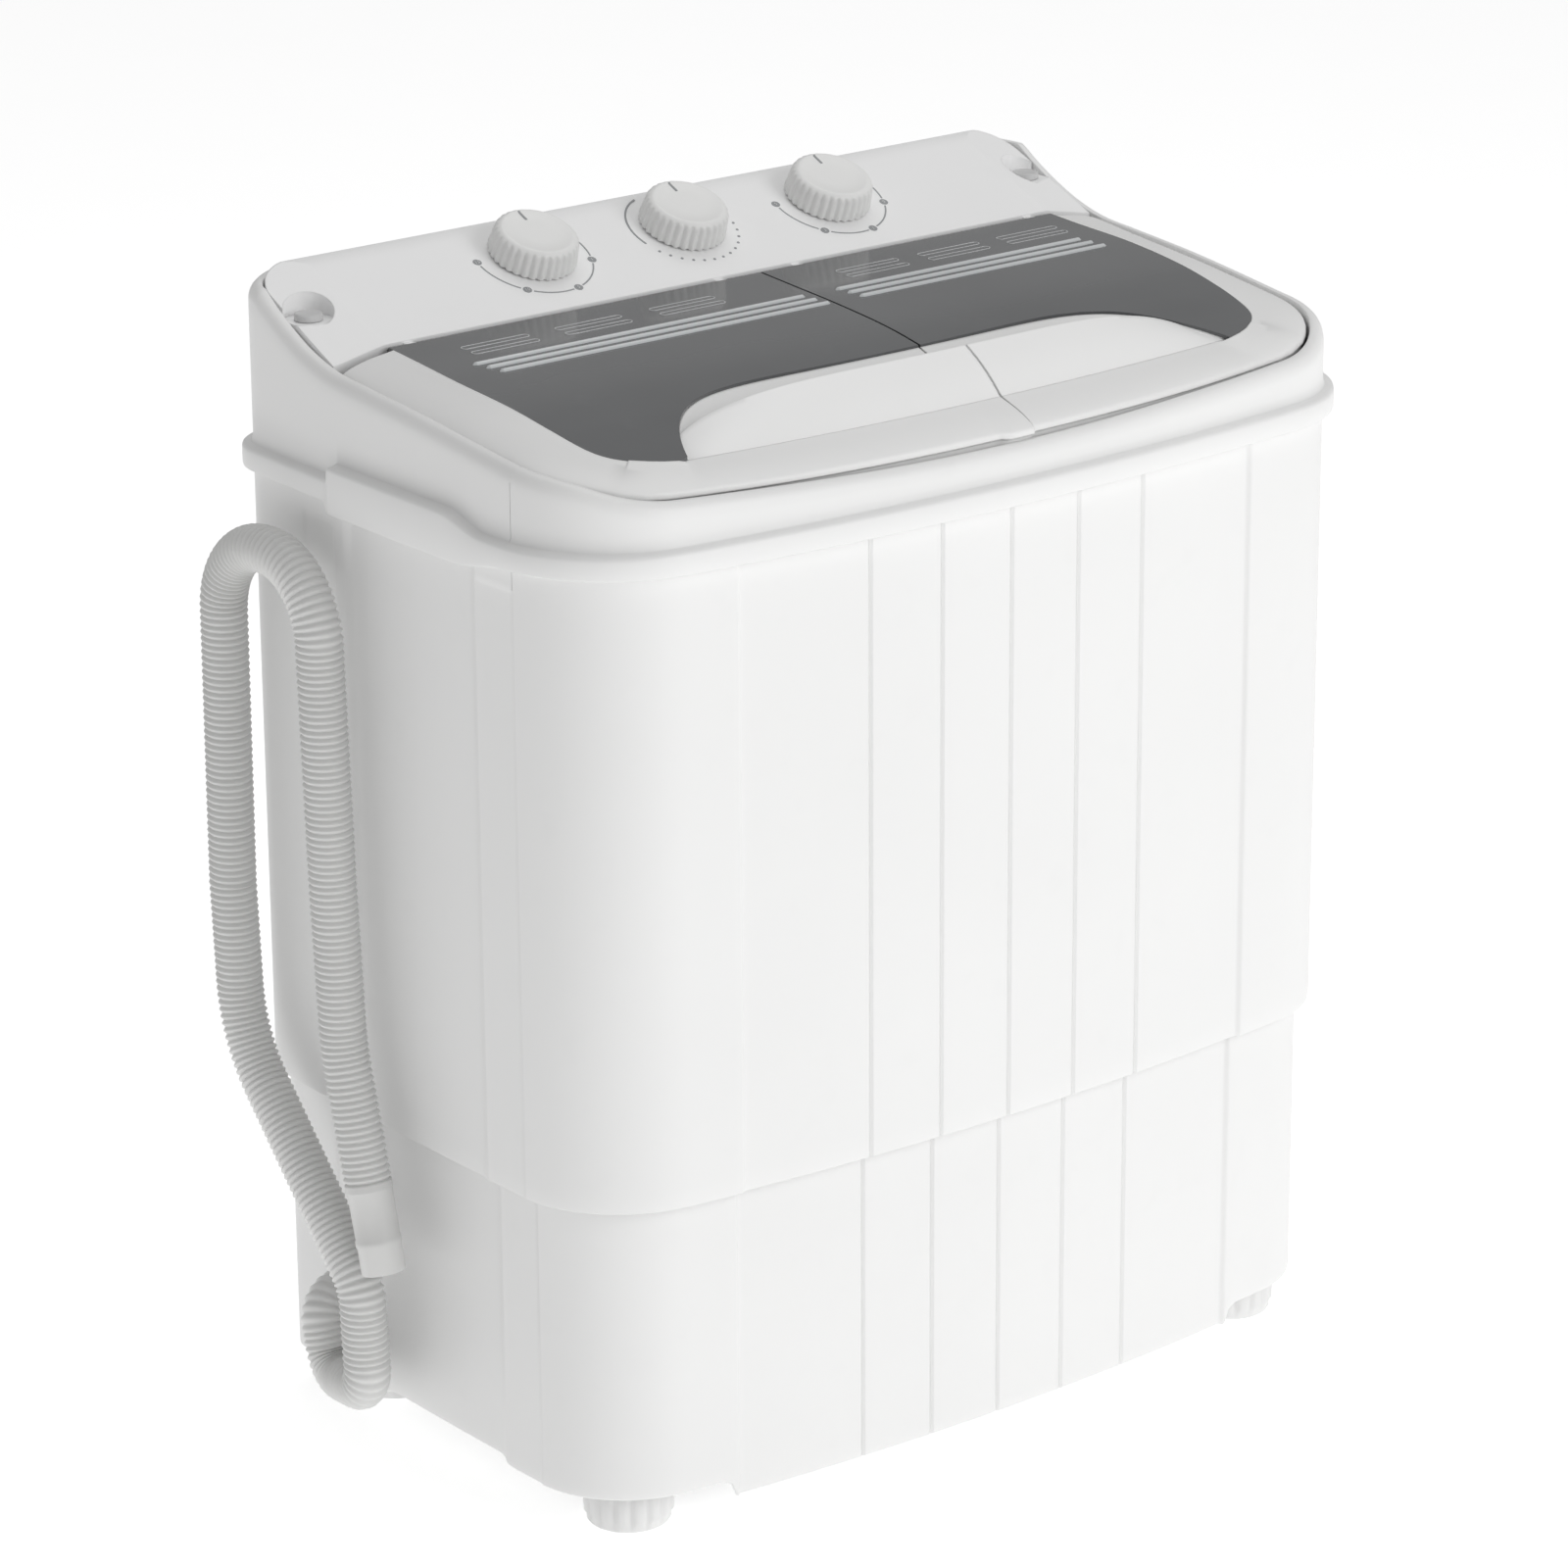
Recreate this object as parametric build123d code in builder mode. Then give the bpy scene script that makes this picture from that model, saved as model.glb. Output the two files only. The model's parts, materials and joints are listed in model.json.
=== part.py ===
from build123d import *
import math
import os

os.makedirs("parts", exist_ok=True)

# Frame: X to the right seen from the front, Y to the back, Z up. The origin is on the floor,
# under the middle of the housing. All lengths are millimetres.

# ---------------------------------------------------------------- driving dimensions
HALF_WIDTH = 295.0
HALF_DEPTH = 181.4
FRONT_BOW = 23.2
SIDE_BOW = 4.0
FRONT_CORNER = 79.5
BACK_CORNER = 36.1
WALL = 2.5

SHELL_INSET = 6.5
SHELL_BOTTOM = 204.7
COLLAR_BOTTOM = 572.6
COLLAR_TOP = 586.4
PANEL_STEP = 2.2
COLUMN_X = 187.0
COLUMN_Y = 60.0
GROOVE_X = (-100.0, -50.0, 0.0, 50.0, 100.0)
GROOVE_SIZE = 3.0

BASE_INSET = 14.8
BASE_BOTTOM = 14.8
BASE_CORNER_BOTTOM = 26.0
BASE_TOP = 222.0
FLOOR_Z = 40.0
FLOOR_TOP = FLOOR_Z + 3.0

FOOT_X = 231.5
FOOT_FRONT_Y = -112.5
FOOT_BACK_Y = 118.0
FOOT_RADIUS = 26.5
FOOT_HEIGHT = 26.0
FOOT_BOSS_RADIUS = 13.0
FOOT_BOSS_HEIGHT = 44.0
FOOT_STEM_LENGTH = 40.0
FOOT_PAD_HEIGHT = 6.0
FOOT_FLUTES = 20
FOOT_FLUTE_RADIUS = 2.2
FOOT_PLACES = {
    "foot_front_left": (-FOOT_X, FOOT_FRONT_Y),
    "foot_front_right": (FOOT_X, FOOT_FRONT_Y),
    "foot_back_left": (-FOOT_X, FOOT_BACK_Y),
    "foot_back_right": (FOOT_X, FOOT_BACK_Y),
}

SEAM_INSET = 15.0
LID_GAP = 0.8
LID_SKIRT = 12.0
SKIRT_LIP = 4.0
SKIRT_STEP = 2.6
SPLIT_X = 20.6
SPLIT_GAP = 1.0
HINGE_Y = 78.0
HINGE_Z = 648.0
BARREL_RADIUS = 3.2
HINGE_PIN_RADIUS = 1.5
RUNNING_GAP = 0.06
HINGE_LUG_X = (-228.0, -8.0, 49.0, 228.0)
LUG_WIDTH = 6.0
LUG_CLEARANCE = 8.0

CONSOLE_FRONT_Y = 81.8
CONSOLE_SLOPE = 23.2
CONSOLE_REF = (0.0, 78.8, 650.8)
KNOB_Y = 128.5
KNOB_X = (-107.5, 1.5, 110.5)
KNOB_RADIUS = 26.5
KNOB_HEIGHT = 17.0

DECK_Z = 580.0
DECK_THICK = 3.0
TUB_FLOOR_Z = 240.0
WASH_TUB_X = -131.0
WASH_TUB_SIZE = (274.0, 296.0)
WASH_TUB_CORNER = 45.0

PULSATOR_X = -131.0
PULSATOR_Y = 0.0
MOTOR_X = -41.0
MOTOR_Y = -80.0
BELT_Z = 175.0
PULLEY_GROOVE_RADIUS = 56.0
MOTOR_GROOVE_RADIUS = 8.0
SHAFT_RADIUS = 5.0

SPIN_X = 150.0
SPIN_Y = -36.0
SPIN_TUB_RADIUS = 110.0
BASKET_RADIUS = 92.0
SPIN_SHAFT_RADIUS = 6.0

DRAIN_X = -40.0
DRAIN_Y = 115.0

# Lid surface from the hinge line to the crease, then the sloping front edge (y, z).
LID_TOP = ((78.0, 651.2), (51.5, 649.4), (8.4, 646.6), (-39.0, 642.0), (-75.0, 635.8), (-99.0, 630.7),
           (-120.0, 626.4), (-137.0, 622.5))
LID_FRONT = (-170.0, 609.4)
# Rim of the top cover seen from the side (y, z).
COVER_TOP = (
    (-184.0, 604.0), (-174.0, 609.3), (-160.0, 614.8), (-133.0, 623.6), (-81.0, 629.6), (-8.0, 637.8),
    (48.0, 642.4), (76.0, 645.0), (99.0, 651.0), (118.0, 659.0), (135.0, 668.0), (150.0, 677.5),
    (160.0, 683.5), (168.0, 685.6), (176.0, 684.4), (184.0, 682.0),
)


# ---------------------------------------------------------------- shared shapes
def bow(x):
    """How far the bowed front lies behind its middle at x."""
    return FRONT_BOW * (x / (HALF_WIDTH - SIDE_BOW)) ** 2


def outline(inset):
    """Plan of the housing moved inwards: bowed front and sides, large front corners."""
    side = HALF_WIDTH - inset
    corner_x = side - SIDE_BOW
    front = inset - HALF_DEPTH
    corner_y = front + FRONT_BOW
    back = HALF_DEPTH - inset
    with BuildSketch() as plan:
        with BuildLine():
            ThreePointArc((-corner_x, corner_y), (0, front), (corner_x, corner_y))
            ThreePointArc((corner_x, corner_y), (side, 0), (corner_x, back))
            Line((corner_x, back), (-corner_x, back))
            ThreePointArc((-corner_x, back), (-side, 0), (-corner_x, corner_y))
        make_face()
        fillet(plan.vertices().sort_by(Axis.Y)[:2], FRONT_CORNER - inset)
        fillet(plan.vertices().sort_by(Axis.Y)[-2:], BACK_CORNER - inset)
    return plan.sketch


def ring_plan(outer_inset, inner_inset):
    """Band between two insets of the housing plan."""
    with BuildSketch() as plan:
        add(outline(outer_inset))
        add(outline(inner_inset), mode=Mode.SUBTRACT)
    return plan.sketch


def column_plan(inset, margin):
    """Housing plan with the front and side panels set back between four corner columns."""
    with BuildSketch() as plan:
        add(outline(inset))
        with Locations((0, -HALF_DEPTH)):
            Rectangle(2 * (COLUMN_X + margin), HALF_DEPTH, mode=Mode.SUBTRACT)
        Rectangle(2 * HALF_WIDTH, 2 * (COLUMN_Y + margin), mode=Mode.SUBTRACT)
        add(outline(inset + PANEL_STEP))
    return plan.sketch


def half_plan(plan_inset, left):
    """One side of the housing plan, cut at the gap between the two lids."""
    edge = SPLIT_X - SPLIT_GAP / 2 if left else SPLIT_X + SPLIT_GAP / 2
    centre = edge - HALF_WIDTH if left else edge + HALF_WIDTH
    with BuildSketch() as plan:
        add(outline(plan_inset))
        with Locations((centre, 0)):
            Rectangle(2 * HALF_WIDTH, 2 * HALF_DEPTH, mode=Mode.INTERSECT)
    return plan.sketch


def groove_cutters(inset, bottom, height):
    """Square rods that cut V grooves down the front panel."""
    with BuildPart() as rods:
        with BuildSketch(Plane.XY.offset(bottom)):
            for x in GROOVE_X:
                with Locations((x, inset + PANEL_STEP - HALF_DEPTH + bow(x) - 0.8)):
                    Rectangle(GROOVE_SIZE, GROOVE_SIZE, rotation=45)
        extrude(amount=height)
    return rods.part


def lid_band(top, bottom):
    """Side view of a layer that follows the lid surface, in (y, z)."""
    with BuildSketch() as band:
        with BuildLine():
            Spline([(y, z + top) for y, z in LID_TOP])
            Line((LID_TOP[-1][0], LID_TOP[-1][1] + top), (LID_FRONT[0], LID_FRONT[1] + top))
            Line((LID_FRONT[0], LID_FRONT[1] + top), (LID_FRONT[0], LID_FRONT[1] + bottom))
            Line((LID_FRONT[0], LID_FRONT[1] + bottom), (LID_TOP[-1][0], LID_TOP[-1][1] + bottom))
            Spline([(y, z + bottom) for y, z in reversed(LID_TOP)])
            Line((LID_TOP[0][0], LID_TOP[0][1] + bottom), (LID_TOP[0][0], LID_TOP[0][1] + top))
        make_face()
    return band.sketch


def lid_layer(plan, top, bottom):
    """Solid inside a plan, between two heights measured from the lid surface."""
    with BuildPart() as layer:
        with BuildSketch(Plane.XY.offset(COLLAR_TOP)):
            add(plan)
        extrude(amount=100)
        with BuildSketch(Plane.YZ.offset(-HALF_WIDTH)):
            add(lid_band(top, bottom))
        extrude(amount=2 * HALF_WIDTH, mode=Mode.INTERSECT)
    return layer.part


def cover_space(drop):
    """Side view of everything under the rim of the top cover, lowered by drop, in (y, z)."""
    with BuildSketch() as side:
        with BuildLine():
            Spline([(y, z - drop) for y, z in COVER_TOP])
            Line((COVER_TOP[-1][0], COVER_TOP[-1][1] - drop), (COVER_TOP[-1][0], 500))
            Line((COVER_TOP[-1][0], 500), (COVER_TOP[0][0], 500))
            Line((COVER_TOP[0][0], 500), (COVER_TOP[0][0], COVER_TOP[0][1] - drop))
        make_face()
    return side.sketch


def plane_through(a, b, c):
    """Plane through three points, with its normal upwards."""
    normal = (Vector(*b) - Vector(*a)).cross(Vector(*c) - Vector(*a))
    if normal.Z < 0:
        normal = normal * -1
    return Plane(origin=a, x_dir=Vector(*b) - Vector(*a), z_dir=normal)


def above(plane):
    """Block that fills the space above a plane."""
    with BuildPart() as block:
        with BuildSketch(plane):
            Rectangle(900, 900)
        extrude(amount=120)
    return block.part


def console_plane(x, y, height):
    """Plane parallel to the console face, standing height above it at plan position (x, y)."""
    slope = math.radians(CONSOLE_SLOPE)
    z = CONSOLE_REF[2] + (y - CONSOLE_REF[1]) * math.tan(slope)
    normal = Vector(0, -math.sin(slope), math.cos(slope))
    return Plane(origin=Vector(x, y, z) + normal * height, x_dir=(1, 0, 0), z_dir=normal)


def save(builder, name):
    """Label a finished piece and write it."""
    builder.part.label = name
    export_step(builder.part, "parts/" + name + ".step")


# ---------------------------------------------------------------- housing
with BuildPart() as base_housing:
    with BuildSketch(Plane.XY.offset(BASE_BOTTOM)):
        add(column_plan(BASE_INSET, 0))
        add(column_plan(BASE_INSET + WALL, WALL), mode=Mode.SUBTRACT)
    extrude(amount=BASE_TOP - BASE_BOTTOM)
    add(groove_cutters(BASE_INSET, BASE_BOTTOM + 9, BASE_TOP), mode=Mode.SUBTRACT)
    # the skirt is raised at both ends, above the feet
    with BuildSketch(Plane.XY.offset(BASE_BOTTOM)):
        with Locations((-HALF_WIDTH, 0), (HALF_WIDTH, 0)):
            Rectangle(2 * (HALF_WIDTH - COLUMN_X - 4), 2 * HALF_DEPTH)
    extrude(amount=BASE_CORNER_BOTTOM - BASE_BOTTOM, mode=Mode.SUBTRACT)
    # floor pan with cooling slots and foot bosses
    with BuildSketch(Plane.XY.offset(FLOOR_Z)):
        add(outline(BASE_INSET + PANEL_STEP + WALL / 2))
        with GridLocations(20, 70, 5, 2):
            SlotOverall(50, 7, rotation=90, mode=Mode.SUBTRACT)
    extrude(amount=FLOOR_TOP - FLOOR_Z)
    with BuildSketch(Plane.XY.offset(FOOT_HEIGHT + 2)):
        with Locations(*FOOT_PLACES.values()):
            Circle(FOOT_BOSS_RADIUS)
    extrude(amount=FOOT_BOSS_HEIGHT)
    with BuildSketch(Plane.XY.offset(FOOT_HEIGHT)):
        with Locations(*FOOT_PLACES.values()):
            Circle(SHAFT_RADIUS + RUNNING_GAP)
    extrude(amount=60, mode=Mode.SUBTRACT)
    # ledge that carries the body shell
    with BuildSketch(Plane.XY.offset(BASE_TOP - 6)):
        add(ring_plan(SHELL_INSET + PANEL_STEP + WALL + 0.4, BASE_INSET + PANEL_STEP + WALL))
    extrude(amount=3)
    # hose opening in the left wall, cord opening in the back wall
    with BuildSketch(Plane.YZ.offset(-HALF_WIDTH)):
        with Locations((92, 86)):
            Circle(15.5)
    extrude(amount=30, mode=Mode.SUBTRACT)
    with BuildSketch(Plane.XZ.offset(-HALF_DEPTH)):
        with Locations((200, 90)):
            Circle(8)
    extrude(amount=30, mode=Mode.SUBTRACT)
save(base_housing, "base_housing")

BACK_OPENING = (300.0, 270.0)
BACK_OPENING_Z = 400.0
with BuildPart() as body_shell:
    with BuildSketch(Plane.XY.offset(SHELL_BOTTOM)):
        add(column_plan(SHELL_INSET, 0))
        add(column_plan(SHELL_INSET + WALL, WALL), mode=Mode.SUBTRACT)
    extrude(amount=COLLAR_BOTTOM - SHELL_BOTTOM)
    add(groove_cutters(SHELL_INSET, SHELL_BOTTOM, COLLAR_BOTTOM), mode=Mode.SUBTRACT)
    with BuildSketch(Plane.XZ.offset(-HALF_DEPTH)):
        with Locations((0, BACK_OPENING_Z)):
            RectangleRounded(BACK_OPENING[0], BACK_OPENING[1], 12)
    extrude(amount=20, mode=Mode.SUBTRACT)
save(body_shell, "body_shell")

BACK_FACE_Y = HALF_DEPTH - SHELL_INSET
with BuildPart() as back_cover:
    with BuildSketch(Plane.XZ.offset(-BACK_FACE_Y - 3)):
        with Locations((0, BACK_OPENING_Z)):
            RectangleRounded(BACK_OPENING[0] + 36, BACK_OPENING[1] + 36, 16)
    extrude(amount=3)
    with BuildSketch(Plane.XZ.offset(-BACK_FACE_Y)):
        with Locations((0, BACK_OPENING_Z)):
            RectangleRounded(BACK_OPENING[0] - 1, BACK_OPENING[1] - 1, 11.5)
            RectangleRounded(BACK_OPENING[0] - 9, BACK_OPENING[1] - 9, 8, mode=Mode.SUBTRACT)
    extrude(amount=8)
    with BuildSketch(Plane.XZ.offset(-BACK_FACE_Y - 4)):
        with Locations((0, BACK_OPENING_Z)):
            with GridLocations(120, 14, 2, 9):
                SlotOverall(90, 5)
        with Locations((0, BACK_OPENING_Z)):
            with GridLocations(BACK_OPENING[0] + 18, (BACK_OPENING[1] + 18) / 2, 2, 3):
                Circle(2.2)
    extrude(amount=6, mode=Mode.SUBTRACT)
save(back_cover, "back_cover")

with BuildPart() as back_cover_screws:
    with BuildSketch(Plane.XZ.offset(-BACK_FACE_Y - 3)):
        with Locations((0, BACK_OPENING_Z)):
            with GridLocations(BACK_OPENING[0] + 18, (BACK_OPENING[1] + 18) / 2, 2, 3):
                Circle(4)
    extrude(amount=-2.4)
    with BuildSketch(Plane.XZ.offset(-BACK_FACE_Y - 3)):
        with Locations((0, BACK_OPENING_Z)):
            with GridLocations(BACK_OPENING[0] + 18, (BACK_OPENING[1] + 18) / 2, 2, 3):
                Circle(1.9)
    extrude(amount=3)
save(back_cover_screws, "back_cover_screws")

END_CAP_PLANE = plane_through((244, 78.8, 650.8), (242.5, 151.8, 682.1), (280, 79, 643.8))
END_CAP_MIRROR = plane_through((-244, 78.8, 650.8), (-242.5, 151.8, 682.1), (-280, 79, 643.8))
RIDGE_PLANE = plane_through((217, 160, 688), (217, 175, 688), (290, 160, 677.5))
RIDGE_MIRROR = plane_through((-217, 160, 688), (-217, 175, 688), (-290, 160, 677.5))
GRIP_LENGTH = 118.0
GRIP_Y = 9.0
with BuildPart() as top_cover:
    with BuildSketch(Plane.XY.offset(COLLAR_BOTTOM)):
        add(outline(SHELL_INSET))
    extrude(amount=120)
    with BuildSketch(Plane.YZ.offset(-HALF_WIDTH)):
        add(cover_space(0))
    extrude(amount=2 * HALF_WIDTH, mode=Mode.INTERSECT)
    add(above(RIDGE_PLANE), mode=Mode.SUBTRACT)
    add(above(RIDGE_MIRROR), mode=Mode.SUBTRACT)
    # collar over the top edge of the body shell
    with BuildSketch(Plane.XY.offset(COLLAR_BOTTOM)):
        add(outline(0))
    extrude(amount=COLLAR_TOP - COLLAR_BOTTOM)
    # taller grip on each side of the collar
    with BuildSketch(Plane.XY.offset(COLLAR_BOTTOM - 6)):
        add(ring_plan(-1.5, SHELL_INSET - 0.1))
        with Locations((0, GRIP_Y)):
            Rectangle(2.2 * HALF_WIDTH, GRIP_LENGTH, mode=Mode.INTERSECT)
    extrude(amount=COLLAR_TOP - COLLAR_BOTTOM + 14)
    # inside: the rim is wide, the wall below it is thin
    with BuildSketch(Plane.XY.offset(COLLAR_BOTTOM)):
        add(outline(SEAM_INSET))
    extrude(amount=150, mode=Mode.SUBTRACT)
    with BuildSketch(Plane.XY.offset(COLLAR_BOTTOM + 7)):
        add(outline(SHELL_INSET + WALL + 0.3))
    extrude(amount=13, mode=Mode.SUBTRACT)
    # ledge that carries the two tub decks
    with BuildSketch(Plane.XY.offset(COLLAR_BOTTOM + 3)):
        add(ring_plan(SHELL_INSET + 1, 17))
        with Locations((WASH_TUB_X, 0)):
            RectangleRounded(WASH_TUB_SIZE[0] + 1, WASH_TUB_SIZE[1] + 1, WASH_TUB_CORNER, mode=Mode.SUBTRACT)
    extrude(amount=4)
save(top_cover, "top_cover")

# ---------------------------------------------------------------- console
CONSOLE_THICK = 3.0
CONSOLE_BACK_Y = HALF_DEPTH - SEAM_INSET - LID_GAP
CONSOLE_BASE_Z = 628.0
SCREW_CAP_X = 264.4
SCREW_CAP_Y = 126.0


def console_side(inset):
    """Side view of the console box, shrunk by inset at the front, top and back, in (y, z)."""
    slope = math.tan(math.radians(CONSOLE_SLOPE))
    front = CONSOLE_FRONT_Y + inset
    back = CONSOLE_BACK_Y - inset
    base = CONSOLE_BASE_Z - inset
    lift = inset / math.cos(math.radians(CONSOLE_SLOPE))
    front_z = CONSOLE_REF[2] + (front - CONSOLE_REF[1]) * slope - lift
    crest_y = 152.0
    crest_z = CONSOLE_REF[2] + (crest_y - CONSOLE_REF[1]) * slope - lift
    with BuildSketch() as side:
        with BuildLine():
            Line((front, base), (front, front_z))
            Line((front, front_z), (crest_y, crest_z))
            Spline([(crest_y, crest_z), (159.0, crest_z + 2.3), (back, crest_z + 3.2)])
            Line((back, crest_z + 3.2), (back, base))
            Line((back, base), (front, base))
        make_face()
    return side.sketch


# lugs that hold the lid hinge pins
with BuildPart() as hinge_lug_bars:
    for lug_x in HINGE_LUG_X:
        with BuildSketch(Plane.YZ.offset(lug_x - LUG_WIDTH / 2)):
            with Locations((HINGE_Y, HINGE_Z)):
                Circle(BARREL_RADIUS)
            with Locations((HINGE_Y + 3, HINGE_Z)):
                Rectangle(6, 2 * BARREL_RADIUS - 1)
        extrude(amount=LUG_WIDTH)
    for lug_x in HINGE_LUG_X:
        with BuildSketch(Plane.YZ.offset(lug_x - LUG_WIDTH)):
            with Locations((HINGE_Y, HINGE_Z)):
                Circle(HINGE_PIN_RADIUS)
        extrude(amount=2 * LUG_WIDTH, mode=Mode.SUBTRACT)

with BuildPart() as console_panel:
    with BuildSketch(Plane.XY.offset(CONSOLE_BASE_Z)):
        add(outline(SEAM_INSET + LID_GAP))
        with Locations((0, HALF_DEPTH)):
            Rectangle(2 * HALF_WIDTH, 2 * (HALF_DEPTH - CONSOLE_FRONT_Y), mode=Mode.INTERSECT)
    extrude(amount=80)
    with BuildSketch(Plane.YZ.offset(-HALF_WIDTH)):
        add(console_side(0))
    extrude(amount=2 * HALF_WIDTH, mode=Mode.INTERSECT)
    add(above(END_CAP_PLANE), mode=Mode.SUBTRACT)
    add(above(END_CAP_MIRROR), mode=Mode.SUBTRACT)
    with BuildSketch(Plane.YZ.offset(-HALF_WIDTH + 55)):
        add(console_side(CONSOLE_THICK))
    extrude(amount=2 * (HALF_WIDTH - 55), mode=Mode.SUBTRACT)
    for knob_x in KNOB_X:
        with BuildSketch(console_plane(knob_x, KNOB_Y, 5)):
            Circle(4.2)
        extrude(amount=-20, mode=Mode.SUBTRACT)
    # recess with a screw hole at each end
    for side in (-1, 1):
        with BuildSketch(Plane.XY.offset(661)):
            with Locations((side * SCREW_CAP_X, SCREW_CAP_Y)):
                Circle(14.5)
        extrude(amount=40, mode=Mode.SUBTRACT)
        with BuildSketch(Plane.XY.offset(CONSOLE_BASE_Z)):
            with Locations((side * SCREW_CAP_X, SCREW_CAP_Y)):
                Circle(2.6)
        extrude(amount=40, mode=Mode.SUBTRACT)
    add(hinge_lug_bars.part)
save(console_panel, "console_panel")

with BuildPart() as lid_hinge_pins:
    for lug_x in HINGE_LUG_X:
        with BuildSketch(Plane.YZ.offset(lug_x - 9)):
            with Locations((HINGE_Y, HINGE_Z)):
                Circle(HINGE_PIN_RADIUS)
        extrude(amount=18)
save(lid_hinge_pins, "lid_hinge_pins")

with BuildPart() as console_screw_caps:
    with BuildSketch(Plane.XY.offset(661.2)):
        with Locations((-SCREW_CAP_X, SCREW_CAP_Y), (SCREW_CAP_X, SCREW_CAP_Y)):
            Circle(8.2)
    extrude(amount=4)
    fillet(console_screw_caps.edges().group_by(Axis.Z)[-1], 1.2)
save(console_screw_caps, "console_screw_caps")

# ---------------------------------------------------------------- lids
CREASE_Y = -138.3
CREASE_BOW = 10.4
CREASE_Z = 622.5
HANDLE_HALF = 195.0
HANDLE_X = 3.3
WINDOW_HALF = 245.5
WINDOW_FRONT_Y = -127.0
WINDOW_THICK = 3.8
SCOOP_DEPTH = 71.0


def crease_y(x):
    """Line where the front edge of the lids meets the handle."""
    return CREASE_Y + CREASE_BOW * (x / HANDLE_HALF) ** 2


def rim_y(t):
    """Back rim of the handle, t from -1 to 1 along its length."""
    return 30.5 * max(0.0, 1 - abs(t) ** 12) ** 0.35


def rim_height(t):
    """Height of the handle's back rim above the crease."""
    return 23.4 * (1 - abs(t) ** 4.67)


def surface_z(y):
    """Height of the lid surface at y, straight between the points of LID_TOP."""
    for (y1, z1), (y2, z2) in zip(LID_TOP, LID_TOP[1:]):
        if y2 <= y <= y1:
            return z1 + (z2 - z1) * (y1 - y) / (y1 - y2)
    return LID_TOP[-1][1]


def scoop_plan(shrink):
    """D-shaped hollow behind the crease, where fingers reach under the handle."""
    half = HANDLE_HALF + 1.5 - shrink
    depth = SCOOP_DEPTH - shrink
    rear = []
    for t in (-1.0, -0.98, -0.93, -0.85, -0.72, -0.5, -0.25, 0.0, 0.25, 0.5, 0.72, 0.85, 0.93, 0.98, 1.0):
        x = HANDLE_X + half * t
        rear.append((x, crease_y(x) + depth * (1 - abs(t) ** 6.3)))
    with BuildSketch() as plan:
        with BuildLine():
            Spline(rear)
            Spline([rear[-1], (HANDLE_X, crease_y(HANDLE_X)), rear[0]])
        make_face()
    return plan.sketch


def window_plan(inset, left):
    """One window opening, up to the hinge line at the back."""
    half = WINDOW_HALF - inset
    centre_edge = SPLIT_X - SPLIT_GAP / 2 - inset if left else SPLIT_X + SPLIT_GAP / 2 + inset
    outer_edge = -half if left else half
    with BuildSketch() as plan:
        with Locations(((centre_edge + outer_edge) / 2, (WINDOW_FRONT_Y + inset + HINGE_Y) / 2)):
            Rectangle(abs(centre_edge - outer_edge), HINGE_Y - WINDOW_FRONT_Y - inset)
        corners = plan.vertices().sort_by(Axis.Y)[:2].sort_by(Axis.X)
        fillet(corners[0] if left else corners[1], 34)
        add(scoop_plan(-inset), mode=Mode.SUBTRACT)
    return plan.sketch


LID_SIDE_PLANE = plane_through((243.5, 78, 651.3), (280, 79, 644.2), (280, -96, 626.6))
LID_SIDE_MIRROR = plane_through((-243.5, 78, 651.3), (-280, 79, 644.2), (-280, -96, 626.6))


def lid_frame_part(left):
    """White frame of one lid with a seat for the window and the floor of the finger scoop."""
    with BuildSketch() as inside:
        add(half_plan(SEAM_INSET + LID_GAP, left))
        add(scoop_plan(0), mode=Mode.INTERSECT)
    with BuildPart() as frame:
        add(lid_layer(half_plan(SEAM_INSET + LID_GAP, left), 0, -SKIRT_LIP))
        add(lid_layer(half_plan(SEAM_INSET + LID_GAP + SKIRT_STEP, left), 0, -LID_SKIRT))
        add(lid_layer(window_plan(0, left), 20, -WINDOW_THICK - 0.2), mode=Mode.SUBTRACT)
        add(lid_layer(window_plan(7, left), 20, -LID_SKIRT - 5), mode=Mode.SUBTRACT)
        add(lid_layer(inside.sketch, 20, -7), mode=Mode.SUBTRACT)
        add(above(LID_SIDE_PLANE), mode=Mode.SUBTRACT)
        add(above(LID_SIDE_MIRROR), mode=Mode.SUBTRACT)
        # room for the hinge barrel and lugs along the back
        with BuildSketch(Plane.YZ.offset(-WINDOW_HALF - 1)):
            with Locations((HINGE_Y, HINGE_Z)):
                Rectangle(9, 40)
        extrude(amount=2 * WINDOW_HALF + 2, mode=Mode.SUBTRACT)
    return frame.part


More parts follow.
